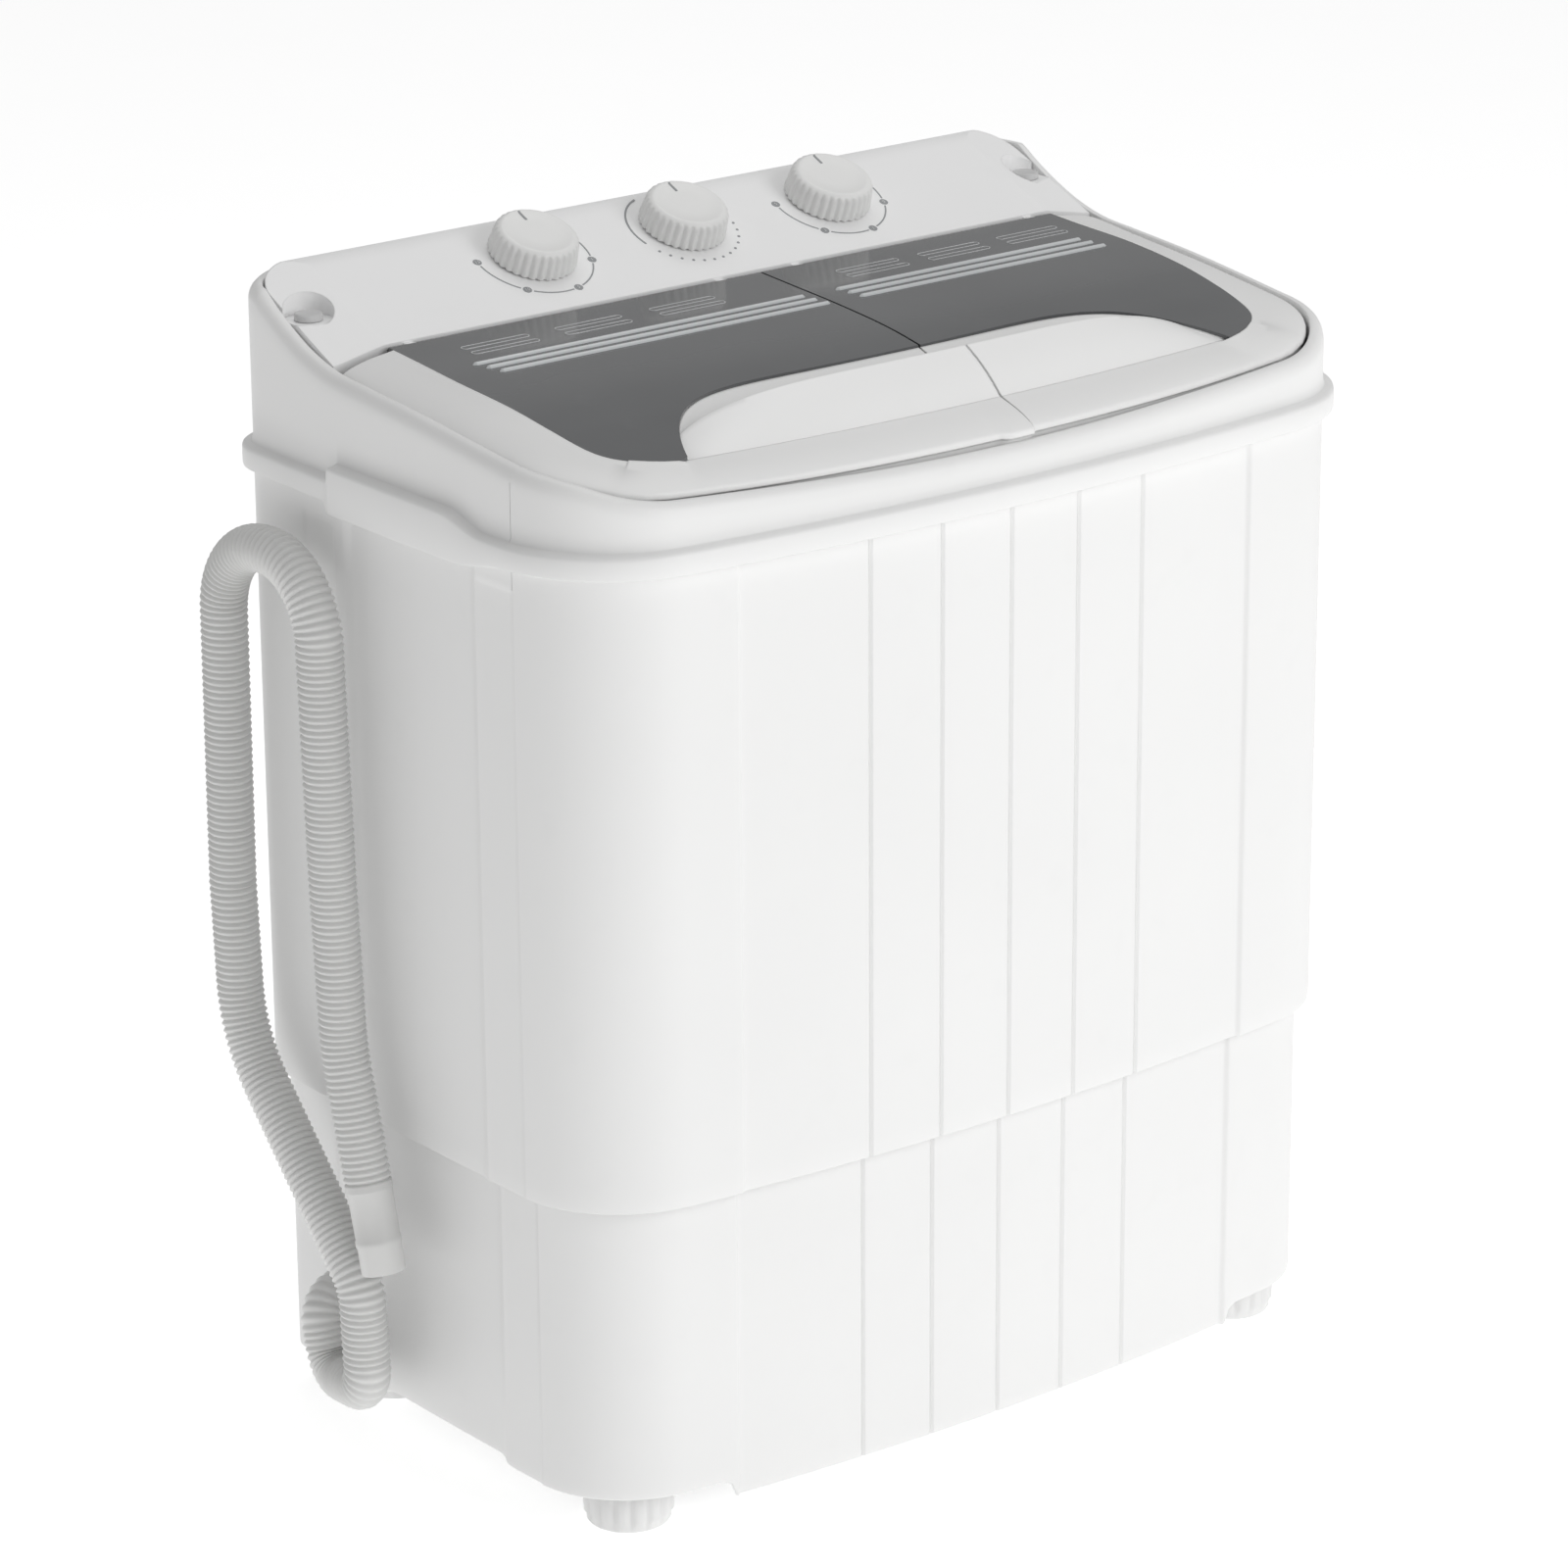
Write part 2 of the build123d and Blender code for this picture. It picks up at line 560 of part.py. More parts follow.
def window_part(left):
    """Smoked window with the hinge barrel along its back edge."""
    near = SPLIT_X - SPLIT_GAP / 2 - 0.3 if left else SPLIT_X + SPLIT_GAP / 2 + 0.3
    far = -WINDOW_HALF + 0.6 if left else WINDOW_HALF - 0.6
    lugs = HINGE_LUG_X[:2] if left else HINGE_LUG_X[2:]
    with BuildPart() as window:
        add(lid_layer(window_plan(0.3, left), 0, -WINDOW_THICK))
        with BuildSketch(Plane.YZ.offset(min(near, far))):
            with Locations((HINGE_Y, HINGE_Z)):
                Circle(BARREL_RADIUS)
        extrude(amount=abs(near - far))
        for lug_x in lugs:
            with BuildSketch(Plane.YZ.offset(lug_x - LUG_WIDTH / 2 - 0.6)):
                with Locations((HINGE_Y, HINGE_Z)):
                    Circle(LUG_CLEARANCE)
            extrude(amount=LUG_WIDTH + 1.2, mode=Mode.SUBTRACT)
        with BuildSketch(Plane.YZ.offset(min(near, far) - 1)):
            with Locations((HINGE_Y, HINGE_Z)):
                Circle(HINGE_PIN_RADIUS + RUNNING_GAP)
        extrude(amount=abs(near - far) + 2, mode=Mode.SUBTRACT)
        # three raised ribs in front of the hinge
        with BuildSketch(Plane.XY.offset(COLLAR_TOP + 50)):
            for rib in range(3):
                with Locations(((near + far) / 2, 40 - 7 * rib)):
                    SlotOverall(abs(near - far) - 34, 3)
        extrude(amount=surface_z(33) + 1.2 - COLLAR_TOP - 50)
    return window.part


def handle_part(stations):
    """Arched handle between the given stations along its length, as a sheet that rises to the back."""
    with BuildPart() as visor:
        for t in stations:
            x = HANDLE_X + HANDLE_HALF * t
            front = crease_y(x) + 1.2
            rim = crease_y(x) + rim_y(t)
            rim_z = CREASE_Z + rim_height(t)
            seat_z = surface_z(front + 5) - 6.4
            with BuildSketch(Plane.YZ.offset(x)):
                with BuildLine():
                    Polyline((front, CREASE_Z - 0.3), (rim, rim_z), (rim + 0.2, rim_z - 3),
                             (front + 5, CREASE_Z - 0.6), (front + 5, seat_z), (front, seat_z), close=True)
                make_face()
        loft()
    return visor.part


def station(x):
    """Place along the handle for a given x."""
    return (x - HANDLE_X) / HANDLE_HALF


with BuildPart() as wash_lid_frame:
    add(lid_frame_part(True))
save(wash_lid_frame, "wash_lid_frame")

with BuildPart() as spin_lid_frame:
    add(lid_frame_part(False))
save(spin_lid_frame, "spin_lid_frame")

with BuildPart() as wash_lid_window:
    add(window_part(True))
save(wash_lid_window, "wash_lid_window")

with BuildPart() as spin_lid_window:
    add(window_part(False))
save(spin_lid_window, "spin_lid_window")

with BuildPart() as wash_lid_handle:
    add(handle_part((-0.94, -0.88, -0.78, -0.6, -0.35, station(SPLIT_X - SPLIT_GAP / 2 - 0.3))))
save(wash_lid_handle, "wash_lid_handle")

with BuildPart() as spin_lid_handle:
    add(handle_part((station(SPLIT_X + SPLIT_GAP / 2 + 0.3), 0.35, 0.6, 0.78, 0.88, 0.94)))
save(spin_lid_handle, "spin_lid_handle")

# ---------------------------------------------------------------- knobs and timers
FLUTES = 30
SPINDLE_RADIUS = 3.0


def knob_part(x):
    """Fluted knob with a flat top and a pointer notch."""
    with BuildPart() as knob:
        with BuildSketch(console_plane(x, KNOB_Y, 0.8)):
            Circle(KNOB_RADIUS)
        extrude(amount=KNOB_HEIGHT, taper=11)
        with BuildSketch(console_plane(x, KNOB_Y, 0.8)):
            Circle(KNOB_RADIUS - 4)
            Circle(6, mode=Mode.SUBTRACT)
        extrude(amount=11, mode=Mode.SUBTRACT)
        with BuildSketch(console_plane(x, KNOB_Y, 0)):
            with PolarLocations(KNOB_RADIUS + 0.2, FLUTES):
                Circle(1.3)
        extrude(amount=KNOB_HEIGHT - 2, mode=Mode.SUBTRACT)
        with BuildSketch(console_plane(x, KNOB_Y, KNOB_HEIGHT - 0.4)):
            with Locations((0, 17)):
                SlotOverall(9, 2.4, rotation=90)
        extrude(amount=2, mode=Mode.SUBTRACT)
        with BuildSketch(console_plane(x, KNOB_Y, 0)):
            Circle(SPINDLE_RADIUS)
        extrude(amount=12, mode=Mode.SUBTRACT)
    return knob.part


def spindle_part(x, length):
    """Shaft that turns with a knob."""
    with BuildPart() as spindle:
        with BuildSketch(console_plane(x, KNOB_Y, 11.5)):
            Circle(SPINDLE_RADIUS)
        extrude(amount=-length)
    return spindle.part


def timer_part(x, width, depth):
    """Clockwork timer box screwed under the console, with a running hole for its spindle."""
    with BuildPart() as timer:
        with BuildSketch(console_plane(x, KNOB_Y, -CONSOLE_THICK - 0.5)):
            RectangleRounded(width, 44, 4)
        extrude(amount=-depth)
        with BuildSketch(console_plane(x, KNOB_Y, -CONSOLE_THICK - 0.5)):
            Circle(SPINDLE_RADIUS + RUNNING_GAP)
        extrude(amount=-depth + 6, mode=Mode.SUBTRACT)
    return timer.part


with BuildPart() as wash_timer_knob:
    add(knob_part(KNOB_X[0]))
save(wash_timer_knob, "wash_timer_knob")

with BuildPart() as wash_selector_knob:
    add(knob_part(KNOB_X[1]))
save(wash_selector_knob, "wash_selector_knob")

with BuildPart() as spin_timer_knob:
    add(knob_part(KNOB_X[2]))
save(spin_timer_knob, "spin_timer_knob")

with BuildPart() as wash_timer_shaft:
    add(spindle_part(KNOB_X[0], 32))
save(wash_timer_shaft, "wash_timer_shaft")

with BuildPart() as selector_shaft:
    add(spindle_part(KNOB_X[1], 30))
    with BuildSketch(console_plane(KNOB_X[1], KNOB_Y, -18.5)):
        Circle(6)
        with Locations((14, 0)):
            SlotOverall(34, 8)
        with Locations((26, 0)):
            Circle(1.5, mode=Mode.SUBTRACT)
    extrude(amount=-3)
save(selector_shaft, "selector_shaft")

with BuildPart() as spin_timer_shaft:
    add(spindle_part(KNOB_X[2], 32))
save(spin_timer_shaft, "spin_timer_shaft")

with BuildPart() as wash_timer:
    add(timer_part(KNOB_X[0], 52, 27))
save(wash_timer, "wash_timer")

with BuildPart() as spin_timer:
    add(timer_part(KNOB_X[2], 52, 27))
save(spin_timer, "spin_timer")

# ---------------------------------------------------------------- wash side
FILTER_X = -200.0

with BuildPart() as wash_tub:
    with BuildSketch(Plane.XY.offset(DECK_Z)):
        add(half_plan(13, True))
    extrude(amount=DECK_THICK)
    with BuildSketch(Plane.XY.offset(TUB_FLOOR_Z)):
        with Locations((WASH_TUB_X, 0)):
            RectangleRounded(WASH_TUB_SIZE[0], WASH_TUB_SIZE[1], WASH_TUB_CORNER)
    extrude(amount=DECK_Z - TUB_FLOOR_Z)
    with BuildSketch(Plane.XY.offset(TUB_FLOOR_Z + 3)):
        with Locations((WASH_TUB_X, 0)):
            RectangleRounded(WASH_TUB_SIZE[0] - 2 * WALL, WASH_TUB_SIZE[1] - 2 * WALL, WASH_TUB_CORNER - WALL)
    extrude(amount=DECK_Z, mode=Mode.SUBTRACT)
    with BuildSketch(Plane.XY.offset(TUB_FLOOR_Z - 1)):
        with Locations((PULSATOR_X, PULSATOR_Y)):
            Circle(14.2)
        with Locations((DRAIN_X, DRAIN_Y)):
            Circle(11)
    extrude(amount=5, mode=Mode.SUBTRACT)
save(wash_tub, "wash_tub")

with BuildPart() as bearing_housing:
    with BuildSketch(Plane.XY.offset(198)):
        with Locations((PULSATOR_X, PULSATOR_Y)):
            Circle(14)
    extrude(amount=56)
    with BuildSketch(Plane.XY.offset(TUB_FLOOR_Z - 5)):
        with Locations((PULSATOR_X, PULSATOR_Y)):
            Circle(34)
    extrude(amount=4.8)
    with BuildSketch(Plane.XY.offset(197)):
        with Locations((PULSATOR_X, PULSATOR_Y)):
            Circle(SHAFT_RADIUS + 3)
    extrude(amount=60, mode=Mode.SUBTRACT)
save(bearing_housing, "bearing_housing")

with BuildPart() as shaft_bushes:
    for bush_z in (199.0, 236.0):
        with BuildSketch(Plane.XY.offset(bush_z)):
            with Locations((PULSATOR_X, PULSATOR_Y)):
                Circle(SHAFT_RADIUS + 3)
                Circle(SHAFT_RADIUS + RUNNING_GAP, mode=Mode.SUBTRACT)
        extrude(amount=16)
save(shaft_bushes, "shaft_bushes")

with BuildPart() as pulsator:
    with BuildSketch(Plane.XZ.offset(-PULSATOR_Y)):
        with BuildLine():
            Polyline(
                (PULSATOR_X, 259), (PULSATOR_X + 14, 259), (PULSATOR_X + 16, 264),
                (PULSATOR_X + 70, 262), (PULSATOR_X + 80, 259), (PULSATOR_X + 80, 263),
            )
            Spline(
                (PULSATOR_X + 80, 263), (PULSATOR_X + 55, 268), (PULSATOR_X + 24, 272), (PULSATOR_X, 284),
            )
            Line((PULSATOR_X, 284), (PULSATOR_X, 259))
        make_face()
    revolve(axis=Axis((PULSATOR_X, PULSATOR_Y, 0), (0, 0, 1)))
    with BuildSketch(Plane.XY.offset(264)):
        with Locations((PULSATOR_X, PULSATOR_Y)):
            with PolarLocations(46, 4):
                SlotOverall(58, 12)
    extrude(amount=18, taper=14)
    with BuildSketch(Plane.XY.offset(258)):
        with Locations((PULSATOR_X, PULSATOR_Y)):
            Circle(SHAFT_RADIUS)
    extrude(amount=18, mode=Mode.SUBTRACT)
save(pulsator, "pulsator")

with BuildPart() as pulsator_shaft:
    with BuildSketch(Plane.XY.offset(152)):
        with Locations((PULSATOR_X, PULSATOR_Y)):
            Circle(SHAFT_RADIUS)
    extrude(amount=123)
save(pulsator_shaft, "pulsator_shaft")


def pulley_part(x, y, groove_radius, flange_radius):
    """V-belt pulley on a shaft."""
    with BuildPart() as pulley:
        with BuildSketch(Plane.XY.offset(BELT_Z - 7)):
            with Locations((x, y)):
                Circle(flange_radius)
        extrude(amount=14)
        with BuildSketch(Plane.XY.offset(BELT_Z - 3.1)):
            with Locations((x, y)):
                Circle(flange_radius + 1)
                Circle(groove_radius, mode=Mode.SUBTRACT)
        extrude(amount=6.2, mode=Mode.SUBTRACT)
        if flange_radius > 40:
            with BuildSketch(Plane.XY.offset(BELT_Z - 8)):
                with Locations((x, y)):
                    with PolarLocations(33, 6):
                        Circle(11)
            extrude(amount=16, mode=Mode.SUBTRACT)
        with BuildSketch(Plane.XY.offset(BELT_Z - 12)):
            with Locations((x, y)):
                Circle(SHAFT_RADIUS)
        extrude(amount=24, mode=Mode.SUBTRACT)
    return pulley.part


with BuildPart() as pulsator_pulley:
    add(pulley_part(PULSATOR_X, PULSATOR_Y, PULLEY_GROOVE_RADIUS, PULLEY_GROOVE_RADIUS + 6))
save(pulsator_pulley, "pulsator_pulley")

with BuildPart() as motor_pulley:
    add(pulley_part(MOTOR_X, MOTOR_Y, MOTOR_GROOVE_RADIUS, MOTOR_GROOVE_RADIUS + 6))
save(motor_pulley, "motor_pulley")

def belt_plan(height):
    """Area inside a belt line that runs height above the pulley grooves."""
    reach = math.dist((PULSATOR_X, PULSATOR_Y), (MOTOR_X, MOTOR_Y))
    lean = math.acos((PULLEY_GROOVE_RADIUS - MOTOR_GROOVE_RADIUS) / reach)
    heading = math.atan2(MOTOR_Y - PULSATOR_Y, MOTOR_X - PULSATOR_X)
    large = PULLEY_GROOVE_RADIUS + height
    small = MOTOR_GROOVE_RADIUS + height
    tangents = []
    for x, y, radius, turn in ((PULSATOR_X, PULSATOR_Y, large, lean), (MOTOR_X, MOTOR_Y, small, lean),
                               (MOTOR_X, MOTOR_Y, small, -lean), (PULSATOR_X, PULSATOR_Y, large, -lean)):
        tangents.append((x + radius * math.cos(heading + turn), y + radius * math.sin(heading + turn)))
    with BuildSketch() as plan:
        with BuildLine():
            Polyline(*tangents, close=True)
        make_face()
        with Locations((PULSATOR_X, PULSATOR_Y)):
            Circle(large)
        with Locations((MOTOR_X, MOTOR_Y)):
            Circle(small)
    return plan.sketch


with BuildPart() as drive_belt:
    with BuildSketch(Plane.XY.offset(BELT_Z - 3)):
        add(belt_plan(5))
        add(belt_plan(RUNNING_GAP), mode=Mode.SUBTRACT)
    extrude(amount=6)
save(drive_belt, "drive_belt")

with BuildPart() as wash_motor:
    with BuildSketch(Plane.XY.offset(62)):
        with Locations((MOTOR_X, MOTOR_Y)):
            Circle(46)
    extrude(amount=80)
    fillet(wash_motor.edges().group_by(Axis.Z)[-1], 6)
    with BuildSketch(Plane.XY.offset(88)):
        with Locations((MOTOR_X, MOTOR_Y)):
            Circle(52)
    extrude(amount=26)
    with BuildSketch(Plane.XY.offset(62)):
        with Locations((MOTOR_X, MOTOR_Y)):
            Circle(SHAFT_RADIUS + RUNNING_GAP)
    extrude(amount=90, mode=Mode.SUBTRACT)
save(wash_motor, "wash_motor")

with BuildPart() as wash_motor_shaft:
    with BuildSketch(Plane.XY.offset(64)):
        with Locations((MOTOR_X, MOTOR_Y)):
            Circle(SHAFT_RADIUS)
    extrude(amount=122)
save(wash_motor_shaft, "wash_motor_shaft")

with BuildPart() as wash_motor_plate:
    with BuildSketch(Plane.XY.offset(59)):
        with Locations((MOTOR_X, MOTOR_Y)):
            RectangleRounded(116, 116, 12)
    extrude(amount=3)
save(wash_motor_plate, "wash_motor_plate")

with BuildPart() as wash_motor_mounts:
    with BuildSketch(Plane.XY.offset(FLOOR_TOP)):
        with Locations((MOTOR_X, MOTOR_Y)):
            with GridLocations(92, 92, 2, 2):
                Circle(9)
    extrude(amount=59 - FLOOR_TOP)
save(wash_motor_mounts, "wash_motor_mounts")

with BuildPart() as lint_filter:
    with BuildSketch(Plane.XY.offset(430)):
        with Locations((FILTER_X, 137)):
            RectangleRounded(70, 14, 3)
            RectangleRounded(60, 6, 2, mode=Mode.SUBTRACT)
    extrude(amount=100)
    with BuildSketch(Plane.XZ.offset(-120)):
        with Locations((FILTER_X, 480)):
            RectangleRounded(52, 76, 4)
    extrude(amount=-14, mode=Mode.SUBTRACT)
save(lint_filter, "lint_filter")

with BuildPart() as overflow_column:
    with BuildSketch(Plane.XY.offset(TUB_FLOOR_Z + 3.1)):
        with Locations((DRAIN_X, DRAIN_Y)):
            Circle(24)
            Circle(21.5, mode=Mode.SUBTRACT)
    extrude(amount=300)
    with BuildSketch(Plane.XZ.offset(-80)):
        with Locations((DRAIN_X, 0)):
            for slot in range(7):
                with Locations((0, 262 + 16 * slot)):
                    SlotOverall(26, 6)
            for slot in range(3):
                with Locations((0, 500 + 14 * slot)):
                    SlotOverall(26, 6)
    extrude(amount=-30, mode=Mode.SUBTRACT)
save(overflow_column, "overflow_column")

# ---------------------------------------------------------------- drain
with BuildPart() as drain_valve_housing:
    with BuildSketch(Plane.XY.offset(196)):
        with Locations((DRAIN_X, DRAIN_Y)):
            Circle(20)
    extrude(amount=TUB_FLOOR_Z - 0.2 - 196)
    with BuildSketch(Plane.XY.offset(208)):
        with Locations((DRAIN_X, DRAIN_Y)):
            Circle(17.5)
    extrude(amount=40, mode=Mode.SUBTRACT)
    with BuildSketch(Plane.XY.offset(190)):
        with Locations((DRAIN_X, DRAIN_Y)):
            Circle(9)
    extrude(amount=30, mode=Mode.SUBTRACT)
save(drain_valve_housing, "drain_valve_housing")

with BuildPart() as drain_plug:
    with BuildSketch(Plane.XY.offset(208.05)):
        with Locations((DRAIN_X, DRAIN_Y)):
            Circle(15)
    extrude(amount=7)
    with BuildSketch(Plane.XY.offset(215)):
        with Locations((DRAIN_X, DRAIN_Y)):
            Circle(2.4)
    extrude(amount=392)
    with BuildSketch(Plane.XY.offset(598)):
        with Locations((DRAIN_X, DRAIN_Y)):
            Circle(6)
    extrude(amount=3)
save(drain_plug, "drain_plug")

DRAIN_PIPE_PATH = ((DRAIN_X, DRAIN_Y, 195.5), (DRAIN_X, DRAIN_Y, 130), (DRAIN_X - 70, DRAIN_Y, 118),
                   (-200, 92, 86), (-276, 92, 86))
with BuildPart() as drain_pipe:
    with BuildLine() as drain_pipe_path:
        FilletPolyline(*DRAIN_PIPE_PATH, radius=24)
    with BuildSketch(Plane(origin=DRAIN_PIPE_PATH[0], z_dir=(0, 0, -1))):
        Circle(11)
        Circle(9, mode=Mode.SUBTRACT)
    sweep(path=drain_pipe_path.wires()[0])
save(drain_pipe, "drain_pipe")

HOSE_RADIUS = 14.0
HOSE_X = -313.0
HOSE_LOOP = ((-282, 92, 86), (-304, 88, 84), (-306, 74, 44), (-314, 26, 52), (-314, 30, 116),
             (HOSE_X, 146, 236), (HOSE_X, 151, 330))
HOSE_HANGER = ((HOSE_X, 151, 330), (HOSE_X, 149, 541), (HOSE_X, 55, 541), (HOSE_X, 48, 360),
               (HOSE_X, 42, 262), (HOSE_X, 21, 182))
CUFF_RADIUS = 13.0
with BuildPart() as drain_hose:
    with BuildLine() as hose_path:
        FilletPolyline(*HOSE_LOOP, radius=17)
        FilletPolyline(*HOSE_HANGER, radius=45)
    hose_line = hose_path.wires()[0]
    with BuildSketch(Plane(origin=hose_line @ 0, z_dir=hose_line % 0)):
        Circle(HOSE_RADIUS)
        Circle(HOSE_RADIUS - 2.5, mode=Mode.SUBTRACT)
    sweep(path=hose_line)
save(drain_hose, "drain_hose")

CUFF_PLANE = Plane(origin=HOSE_HANGER[-1], z_dir=hose_line % 1)
with BuildPart() as hose_cuff:
    with BuildSketch(CUFF_PLANE.offset(0.8)):
        Circle(CUFF_RADIUS)
        Circle(CUFF_RADIUS - 2, mode=Mode.SUBTRACT)
    extrude(amount=50)
save(hose_cuff, "hose_cuff")

with BuildPart() as hose_clamp:
    with BuildSketch(Plane.YZ.offset(-275.5)):
        with Locations((92, 86)):
            Circle(13.6)
            Circle(11.8, mode=Mode.SUBTRACT)
    extrude(amount=8)
save(hose_clamp, "hose_clamp")

# ---------------------------------------------------------------- spin side
with BuildPart() as spin_tub:
    with BuildSketch(Plane.XY.offset(DECK_Z)):
        add(half_plan(13, False))
    extrude(amount=DECK_THICK)
    with BuildSketch(Plane.XY.offset(258)):
        with Locations((SPIN_X, SPIN_Y)):
            Circle(SPIN_TUB_RADIUS)
    extrude(amount=DECK_Z - 258)
    with BuildSketch(Plane.XY.offset(261)):
        with Locations((SPIN_X, SPIN_Y)):
            Circle(SPIN_TUB_RADIUS - WALL)
    extrude(amount=DECK_Z - 261, mode=Mode.SUBTRACT)
    with BuildSketch(Plane.XY.offset(DECK_Z - 1)):
        with Locations((SPIN_X, SPIN_Y)):
            Circle(BASKET_RADIUS)
    extrude(amount=DECK_THICK + 2, mode=Mode.SUBTRACT)
    with BuildSketch(Plane.XY.offset(256)):
        with Locations((SPIN_X, SPIN_Y)):
            Circle(24)
    extrude(amount=8, mode=Mode.SUBTRACT)
save(spin_tub, "spin_tub")

with BuildPart() as spin_bellows:
    with BuildSketch(Plane.XZ.offset(-SPIN_Y)):
        with BuildLine():
            Polyline(
                (SPIN_X + 6.1, 244), (SPIN_X + 9, 244), (SPIN_X + 9, 250), (SPIN_X + 14, 246),
                (SPIN_X + 19, 250), (SPIN_X + 23.8, 248), (SPIN_X + 23.8, 262), (SPIN_X + 21, 262),
                (SPIN_X + 19, 254), (SPIN_X + 14, 250), (SPIN_X + 9, 256), (SPIN_X + 6.1, 256), close=True,
            )
        make_face()
    revolve(axis=Axis((SPIN_X, SPIN_Y, 0), (0, 0, 1)))
save(spin_bellows, "spin_bellows")

with BuildPart() as spin_basket:
    with BuildSketch(Plane.XY.offset(300)):
        with Locations((SPIN_X, SPIN_Y)):
            Circle(BASKET_RADIUS - 3)
    extrude(amount=262)
    with BuildSketch(Plane.XY.offset(303)):
        with Locations((SPIN_X, SPIN_Y)):
            Circle(BASKET_RADIUS - 5)
    extrude(amount=262, mode=Mode.SUBTRACT)
    with BuildSketch(Plane.XY.offset(548)):
        with Locations((SPIN_X, SPIN_Y)):
            Circle(BASKET_RADIUS - 1)
            Circle(BASKET_RADIUS - 12, mode=Mode.SUBTRACT)
    extrude(amount=14)
    with BuildSketch(Plane.XY.offset(286)):
        with Locations((SPIN_X, SPIN_Y)):
            Circle(22)
    extrude(amount=26)
    with BuildSketch(Plane.XY.offset(280)):
        with Locations((SPIN_X, SPIN_Y)):
            Circle(SPIN_SHAFT_RADIUS)
    extrude(amount=28, mode=Mode.SUBTRACT)
    for row in range(5):
        with Locations((SPIN_X, SPIN_Y, 330 + 46 * row)):
            with PolarLocations(BASKET_RADIUS - 4, 12, start_angle=15 * (row % 2)):
                Cylinder(3.5, 10, rotation=(0, 90, 0), mode=Mode.SUBTRACT)
save(spin_basket, "spin_basket")

with BuildPart() as spin_press_cover:
    with BuildSketch(Plane.XY.offset(528)):
        with Locations((SPIN_X, SPIN_Y)):
            Circle(BASKET_RADIUS - 6)
            with PolarLocations(60, 12):
                Circle(5, mode=Mode.SUBTRACT)
            with PolarLocations(34, 6):
                Circle(5, mode=Mode.SUBTRACT)
    extrude(amount=3)
    with BuildSketch(Plane.XY.offset(531)):
        with Locations((SPIN_X, SPIN_Y)):
            Circle(11)
    extrude(amount=12, taper=8)
save(spin_press_cover, "spin_press_cover")

with BuildPart() as spin_shaft:
    with BuildSketch(Plane.XY.offset(72)):
        with Locations((SPIN_X, SPIN_Y)):
            Circle(SPIN_SHAFT_RADIUS)
    extrude(amount=308 - 72)
save(spin_shaft, "spin_shaft")

DRUM_RADIUS = 40.0
with BuildPart() as brake_drum:
    with BuildSketch(Plane.XY.offset(176)):
        with Locations((SPIN_X, SPIN_Y)):
            Circle(DRUM_RADIUS)
    extrude(amount=22)
    with BuildSketch(Plane.XY.offset(184)):
        with Locations((SPIN_X, SPIN_Y)):
            Circle(DRUM_RADIUS - 4)
            Circle(16, mode=Mode.SUBTRACT)
    extrude(amount=20, mode=Mode.SUBTRACT)
    with BuildSketch(Plane.XY.offset(170)):
        with Locations((SPIN_X, SPIN_Y)):
            Circle(SPIN_SHAFT_RADIUS)
    extrude(amount=40, mode=Mode.SUBTRACT)
save(brake_drum, "brake_drum")

BRAKE_POST = (SPIN_X + 58, SPIN_Y - 34)
with BuildPart() as brake_post:
    with BuildSketch(Plane.XY.offset(FLOOR_TOP)):
        with Locations(BRAKE_POST):
            Circle(4)
    extrude(amount=200 - FLOOR_TOP)
save(brake_post, "brake_post")

with BuildPart() as brake_lever:
    with BuildSketch(Plane.XY.offset(180)):
        with Locations(BRAKE_POST):
            Circle(9)
        with Locations((BRAKE_POST[0], BRAKE_POST[1] + 33)):
            Rectangle(8, 72)
        with Locations((SPIN_X + DRUM_RADIUS + 9.5, SPIN_Y)):
            RectangleRounded(11, 26, 2)
        with Locations((SPIN_X, SPIN_Y)):
            Circle(DRUM_RADIUS + 4, mode=Mode.SUBTRACT)
        with Locations(BRAKE_POST):
            Circle(4 + RUNNING_GAP, mode=Mode.SUBTRACT)
    extrude(amount=12)
save(brake_lever, "brake_lever")

with BuildPart() as spin_motor:
    with BuildSketch(Plane.XY.offset(70)):
        with Locations((SPIN_X, SPIN_Y)):
            Circle(50)
    extrude(amount=84)
    fillet(spin_motor.edges().group_by(Axis.Z)[-1], 6)
    with BuildSketch(Plane.XY.offset(96)):
        with Locations((SPIN_X, SPIN_Y)):
            Circle(56)
    extrude(amount=28)
    with BuildSketch(Plane.XY.offset(66)):
        with Locations((SPIN_X, SPIN_Y)):
            Circle(SPIN_SHAFT_RADIUS + RUNNING_GAP)
    extrude(amount=100, mode=Mode.SUBTRACT)
    with BuildSketch(Plane.XY.offset(66)):
        with Locations((SPIN_X, SPIN_Y)):
            Circle(54)
    extrude(amount=4)
save(spin_motor, "spin_motor")

with BuildPart() as spin_motor_mounts:
    with BuildSketch(Plane.XY.offset(FLOOR_TOP)):
        with Locations((SPIN_X, SPIN_Y)):
            with PolarLocations(42, 3, start_angle=90):
                Circle(11)
    extrude(amount=66 - FLOOR_TOP)
save(spin_motor_mounts, "spin_motor_mounts")

with BuildPart() as run_capacitors:
    with BuildSketch(Plane.XY.offset(FLOOR_TOP)):
        with Locations((60, 100), (110, 100)):
            RectangleRounded(38, 24, 4)
    extrude(amount=48)
save(run_capacitors, "run_capacitors")

